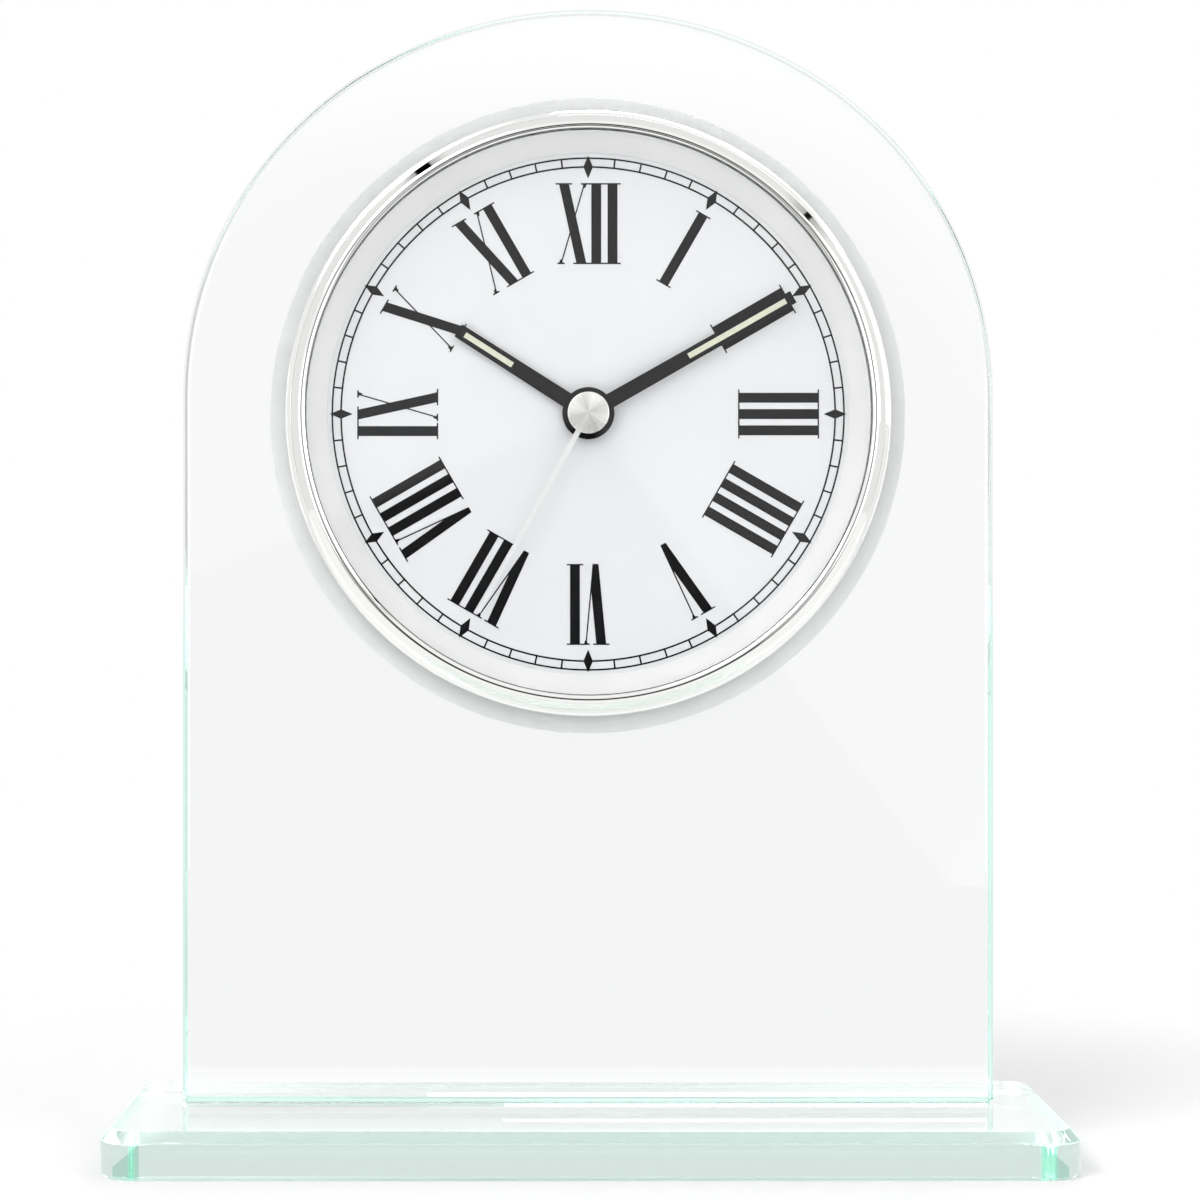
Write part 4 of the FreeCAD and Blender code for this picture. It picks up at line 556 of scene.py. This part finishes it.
FINISHES = {
    "clear_glass": glass("float_glass", BOTTLE_GREEN, 7.5, painted_glow=(0.84, 0.96, 0.91)),
    "pane_glass": glass("pane_glass", BOTTLE_GREEN, 4.0),
    "cement": glass("clear_cement", (0.9, 0.95, 0.93), 1.0, index=1.01),
    "crystal_glass": glass("mineral_glass", (0.6, 0.8, 0.8), 0.5),
    "bezel_chrome": finish("bright_chrome", (0.93, 0.93, 0.915), (0.91, 0.91, 0.89), (0.02, 0.05), 1.0),
    "surround_satin": finish("satin_silver", (0.95, 0.95, 0.94), (0.93, 0.93, 0.92), (0.42, 0.47), 0.1,
                             bump=(GROOVE, {"Pitch": 0.00015}), depth=0.000001),
    "dial_white": finish("dial_white_lacquer", (0.77, 0.78, 0.795), (0.76, 0.77, 0.785), (0.35, 0.42)),
    "dial_ink": finish("dial_black_print", (0.009, 0.009, 0.01), (0.007, 0.007, 0.008), (0.4, 0.5),
                       Specular_IOR_Level=0.05),
    "hand_black": finish("hand_black_enamel", (0.009, 0.009, 0.01), (0.007, 0.007, 0.008), (0.25, 0.32),
                         Specular_IOR_Level=0.05),
    "hand_paste": finish("luminous_paste", (0.68, 0.71, 0.57), (0.64, 0.67, 0.52), (0.6, 0.75),
                         tone_scale=900.0, bump=(GRAIN, {"Scale": 4000.0}), depth=0.00001),
    "hand_silver": finish("silver_lacquer", (0.84, 0.845, 0.85), (0.82, 0.825, 0.83), (0.3, 0.36), 0.2),
    "cap_nickel": finish("spun_nickel", (0.97, 0.955, 0.935), (0.95, 0.935, 0.915), (0.26, 0.32), 0.65,
                         bump=(GROOVE, {"Pitch": 0.0001}), depth=0.000002),
    "washer": finish("pale_foam", (0.98, 0.98, 0.975), (0.96, 0.96, 0.955), (0.8, 0.9), tone_scale=300.0,
                     bump=(GRAIN, {"Scale": 1400.0}), depth=0.00005),
    "carrier_plastic": finish("carrier_plastic", (0.57, 0.57, 0.56), None, (0.4, 0.5)),
    "housing_plastic": finish("housing_plastic", (0.6, 0.6, 0.59), (0.57, 0.57, 0.56), (0.42, 0.52),
                              tone_scale=25.0, bump=(GRAIN, {"Scale": 1300.0}), depth=0.00004),
    "door_plastic": finish("door_plastic", (0.57, 0.57, 0.56), (0.54, 0.54, 0.53), (0.4, 0.5),
                           tone_scale=25.0, bump=(GRAIN, {"Scale": 1300.0}), depth=0.00004),
    "movement_plastic": finish("movement_plastic", (0.012, 0.012, 0.013), (0.016, 0.016, 0.017), (0.3, 0.4),
                               bump=(GRAIN, {"Scale": 2200.0}), depth=0.00002),
    "plate_plastic": finish("plate_plastic", (0.68, 0.66, 0.58), None, (0.35, 0.45)),
    "gear_plastic": finish("gear_plastic", (0.82, 0.79, 0.67), None, (0.25, 0.35)),
    "arbor_metal": finish("turned_brass", (0.78, 0.56, 0.24), (0.7, 0.5, 0.2), (0.2, 0.35), 1.0),
    "spring_metal": finish("spring_steel", (0.55, 0.55, 0.54), None, (0.25, 0.4), 1.0),
    "motor_iron": finish("soft_iron", (0.3, 0.3, 0.31), (0.24, 0.24, 0.25), (0.4, 0.6), 1.0),
    "coil_copper": finish("enamelled_wire", (0.5, 0.16, 0.05), (0.42, 0.12, 0.035), (0.25, 0.35), 1.0),
    "board": finish("board_lacquer", (0.012, 0.09, 0.03), (0.01, 0.075, 0.025), (0.25, 0.35)),
    "can_metal": finish("drawn_can", (0.6, 0.6, 0.6), None, (0.15, 0.3), 1.0),
    "chip_black": finish("black_epoxy", (0.012, 0.012, 0.012), None, (0.35, 0.5)),
    "cell": finish("cell_sleeve", (0.012, 0.03, 0.07), (0.01, 0.026, 0.062), (0.22, 0.3)),
    "contact_metal": finish("nickelled_strip", (0.62, 0.61, 0.58), None, (0.2, 0.35), 1.0),
    "screw_metal": finish("zinc_plate", (0.55, 0.56, 0.57), (0.48, 0.49, 0.5), (0.25, 0.4), 1.0),
    "knob_plastic": finish("knob_plastic", (0.014, 0.014, 0.015), None, (0.3, 0.4),
                           bump=(GRAIN, {"Scale": 1800.0}), depth=0.00002),
}
# Painted shade: a dark line round the bezel lip's inner edge, where the lip meets the crystal
shade("bezel_chrome", PAINTED_SEAM_SHADE, (0.2, 0.2, 0.2), Inner=0.049, Outer=0.0494)
# Painted highlights: light and dark sectors on the spun cap stand in for its reflections
shade("cap_nickel", PAINTED_SHEEN, (0.66, 0.65, 0.635))
# Painted light and shade on the pane's edges: greyed all the way up for the pale band that the edge shows,
# and greened on the straight sides for the light that the glass carries to its edge there
shade("pane_glass", PAINTED_EDGE_LIGHT, (0.8, 0.82, 0.815), Low=0.5, High=0.6)
shade("pane_glass", PAINTED_EDGE_LIGHT, (0.5, 0.82, 0.72))
# Painted shade on the base's rims, seen straight on only: the side bevels and the lower arris darken to
# green-grey, for what they refract and the shade where the base meets the floor
shade("clear_glass", PAINTED_RIM_SHADE, (0.55, 0.74, 0.68), direct=True, Upper=0.9, Lower=0.8)
# Painted shade: a dark green wedge by each front corner of the base, seen straight on only, for the image
# that the corner refracts
base_side, base_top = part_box("base_block")[1][0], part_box("base_block")[1][2]
shade("clear_glass", PAINTED_CORNER_SHADE, (0.42, 0.68, 0.59), direct=True, Start=base_side - 0.0073, Width=0.0045,
      Top=base_top - BASE_BEVEL * MM, Depth=0.004)
# Painted shade: the gasket darkens toward its top, which gets more light from above than its bottom does
# under the bezel
shade("washer", PAINTED_TOP_SHADE, (0.79, 0.79, 0.785))
for node in NODES.values():
    for place in node.material_slots:
        place.material = FINISHES[place.name.split(".")[0]]
for name, (piece, _, _, slot) in pieces.items():
    piece.data.materials.append(FINISHES["pane_glass" if name == "arched_pane" else slot])


# Studio: a pale floor, a soft white room and five soft boxes

SMOOTH = "SMOOTHSTEP"
FLOOR_RADIUS = 450.0
FLOOR_DROP = 0.05


def floor_finish():
    """Pale paper that keeps the clock's shadow and passes into plain white farther away.

    Places are metres along Y from the clock, with the viewer on the minus side.
    """
    material = bpy.data.materials.new("pale_floor")
    material.use_nodes = True
    tree = material.node_tree
    tree.nodes.remove(tree.nodes["Principled BSDF"])

    def glowing(strength):
        return add(tree, "Emission", None, Color=WHITE, Strength=strength).outputs[0]

    path = add(tree, "LightPath").outputs
    straight, through = path["Is Camera Ray"], path["Is Transmission Ray"]
    reflected = maths(tree, "GREATER_THAN", path["Glossy Depth"], 0.5)
    place = object_place(tree)
    along = axes(tree, place)[1]

    # Paper near the clock, with a little light of its own: more of it through the glass
    ahead = maths(tree, "MULTIPLY", ramp(tree, along, -0.02, -0.06), through)
    lift = maths(tree, "ADD", maths(tree, "MULTIPLY", straight, 0.15),
                 maths(tree, "MULTIPLY", through, ramp(tree, along, 0.03, 0.06, 0.35, 0.17)))
    lift = maths(tree, "ADD", lift, maths(tree, "MULTIPLY", ahead, 0.5))
    paper = add(tree, "BsdfDiffuse", None, Color=(0.66, 0.66, 0.66, 1))
    both = add(tree, "AddShader", None, n0=paper.outputs[0], n1=glowing(lift)).outputs[0]

    # What the upright pane's foot mirrors comes in flat, from some way ahead, and is kept dark
    rise = axes(tree, add(tree, "NewGeometry").outputs["Incoming"])[2]
    flat = maths(tree, "MULTIPLY", ramp(tree, rise, 0.2, 0.26, 1.0, 0.0), ramp(tree, along, -0.066, -0.076))
    kept_dark = maths(tree, "MULTIPLY", flat, 0.95)

    # Plain white away from the clock, and sooner behind the glass
    away = add(tree, "VectorMath", {"operation": "LENGTH"}, n0=place).outputs["Value"]
    behind = maths(tree, "MULTIPLY", ramp(tree, along, 0.045, 0.065), through)
    beyond = maths(tree, "MAXIMUM", ramp(tree, away, 0.11, 0.2), behind)
    beyond = maths(tree, "MAXIMUM", beyond, maths(tree, "MULTIPLY", flat, reflected))
    dim = maths(tree, "MAXIMUM", ramp(tree, along, -0.12, -0.2, 0.0, 0.95), kept_dark)
    dim = maths(tree, "MULTIPLY", dim, reflected)
    bright = maths(tree, "MULTIPLY", maths(tree, "ADD", ahead, 1.0), maths(tree, "SUBTRACT", 1.0, dim))
    beyond = maths(tree, "MULTIPLY", beyond, maths(tree, "MAXIMUM", straight, through))
    both = add(tree, "MixShader", None, n0=beyond, n1=both, n2=glowing(bright)).outputs[0]

    # What the outsides of chrome and glass mirror: white near the clock and dark far ahead
    near = maths(tree, "MINIMUM", ramp(tree, along, -0.16, -0.26, 1.0, 0.05),
                 maths(tree, "SUBTRACT", 1.0, kept_dark))
    bounced = maths(tree, "MULTIPLY", path["Is Glossy Ray"], maths(tree, "SUBTRACT", 1.0, through))
    both = add(tree, "MixShader", None, n0=bounced, n1=both, n2=glowing(near)).outputs[0]
    tree.links.new(both, tree.nodes["Material Output"].inputs["Surface"])
    return material


turn = np.linspace(0, 2 * math.pi, 96, endpoint=False)
rim = np.stack([FLOOR_RADIUS * np.cos(turn), FLOOR_RADIUS * np.sin(turn), np.full(96, -FLOOR_DROP)], 1)
floor = surface("pale_floor", [np.zeros((96, 3)) + [0, 0, -FLOOR_DROP], rim])
floor.data.materials.append(floor_finish())


def light_room(world):
    """White room: white to the viewer, darker in front of the clock for what chrome and glass mirror.

    forward, side and up are the parts of the direction looked in, each from -1 to 1.
    """
    tree = world.node_tree
    path = add(tree, "LightPath").outputs
    through = path["Is Transmission Ray"]
    reflected = maths(tree, "GREATER_THAN", path["Glossy Depth"], 0.5)
    side, backward, up = axes(tree, add(tree, "TexCoord").outputs["Generated"])
    forward = maths(tree, "MULTIPLY", backward, -1.0)
    clockwise = maths(tree, "ARCTAN2", side, up)

    def seam(angle, width, tone, reach):
        """1 inside a dark seam at a clockwise angle about the dial, and less beside it, in degrees."""
        away = maths(tree, "ABSOLUTE", maths(tree, "SUBTRACT", clockwise, math.radians(angle)))
        core = maths(tree, "LESS_THAN", away, math.radians(width / 2))
        return maths(tree, "MAXIMUM", core, ramp(tree, away, 0.0, math.radians(reach), tone, 0.0, SMOOTH))

    # Straight ahead it is dark low down, grey above a slanted line, and white still higher
    off = maths(tree, "SUBTRACT", side, 0.018)
    fall = maths(tree, "MAXIMUM", maths(tree, "MULTIPLY", off, 1.3), maths(tree, "MULTIPLY", off, -0.4))
    front = maths(tree, "ADD", ramp(tree, maths(tree, "ADD", up, fall), 0.069, 0.079, 0.02, 0.42, SMOOTH),
                  ramp(tree, up, 0.16, 0.22, 0.0, 0.56, SMOOTH))

    # The room that outsides mirror: walls, that front and two seams
    walls = maths(tree, "ADD", ramp(tree, forward, 0.3, 0.5, 0.86, 0.98, SMOOTH),
                  ramp(tree, forward, -0.96, -0.93, 0.14, 0.0, SMOOTH))
    room = add(tree, "Mix", None, n0=ramp(tree, forward, 0.955, 0.965, kind=SMOOTH), n2=walls,
               n3=front).outputs[0]
    seams = maths(tree, "MAXIMUM", seam(-31, 3.2, 0.6, 6.0), seam(45.7, 1.4, 0.45, 7.0))
    seams = maths(tree, "MULTIPLY", seams, maths(tree, "LESS_THAN", maths(tree, "ABSOLUTE", forward), 0.9))
    room = maths(tree, "MULTIPLY", room, maths(tree, "SUBTRACT", 1.0, seams))

    # The room through glass: white behind, and brighter ahead toward the upper left
    onward = ramp(tree, forward, -0.1, 0.1, kind=SMOOTH)
    slope = maths(tree, "ADD", maths(tree, "MULTIPLY", up, 0.3), maths(tree, "MULTIPLY", side, -0.12))
    ahead = maths(tree, "MULTIPLY", onward, maths(tree, "ADD", slope, 0.36))
    gain = add(tree, "Mix", None, n0=onward, n2=maths(tree, "MULTIPLY", reflected, -0.12), n3=ahead)
    clear = maths(tree, "ADD", 1.0, gain.outputs[0])
    turned_back = maths(tree, "MULTIPLY", reflected, ramp(tree, forward, 0.976, 0.984, kind=SMOOTH))
    clear = add(tree, "Mix", None, n0=turned_back, n2=clear, n3=front).outputs[0]

    shown = maths(tree, "MAXIMUM", path["Is Camera Ray"], maths(tree, "MULTIPLY", through, clear))
    bounced = maths(tree, "MULTIPLY", path["Is Glossy Ray"], maths(tree, "SUBTRACT", 1.0, through))
    mirrored = maths(tree, "MULTIPLY", bounced, room)
    lit = maths(tree, "MULTIPLY", path["Is Diffuse Ray"], 0.6)
    background = tree.nodes["Background"]
    background.inputs["Color"].default_value = WHITE
    strength = maths(tree, "MAXIMUM", shown, maths(tree, "ADD", mirrored, lit))
    tree.links.new(strength, background.inputs["Strength"])


world = bpy.data.worlds.new("white_room")
bpy.context.scene.world = world
world.use_nodes = True
light_room(world)


def soft_box(name, place, size, watts):
    """Square lamp aimed at the middle of the clock."""
    light = bpy.data.lights.new(name, "AREA")
    light.shape = "SQUARE"
    light.size = size
    light.energy = watts
    lamp = bpy.data.objects.new(name, light)
    lamp.location = place
    lamp.rotation_euler = (Vector((0, 0, 0.1)) - Vector(place)).to_track_quat("-Z", "Y").to_euler()
    bpy.context.scene.collection.objects.link(lamp)
    lamp.visible_camera = False


soft_box("key_box", (-0.55, -0.65, 0.85), 0.6, 9.5)
soft_box("fill_box", (0.8, -0.5, 0.45), 0.6, 4.0)
soft_box("left_box", (-0.62, -0.95, 0.12), 0.4, 1.4)
soft_box("right_box", (0.62, -0.95, 0.12), 0.4, 1.4)
soft_box("rear_box", (0.25, 0.9, 0.8), 0.6, 4.0)

# The photograph in its own pixels: its side, the distance of the eye and the point straight ahead of it
SIDE, FOCAL, EYE_X, EYE_Y = 1200, 2592, 541, 610

view = bpy.data.cameras.new("photograph_view")
view.sensor_width = 36
view.lens = FOCAL / SIDE * 36
view.shift_x = (SIDE / 2 - EYE_X) / SIDE
view.shift_y = (EYE_Y - SIDE / 2) / SIDE
view.clip_start = 0.01
camera = bpy.data.objects.new("photograph_view", view)
camera.location = (-0.0083, -0.4559, 0.095)
camera.rotation_euler = (math.radians(90), 0, 0)
bpy.context.scene.collection.objects.link(camera)
bpy.context.scene.camera = camera
bpy.context.scene.view_settings.view_transform = "Standard"
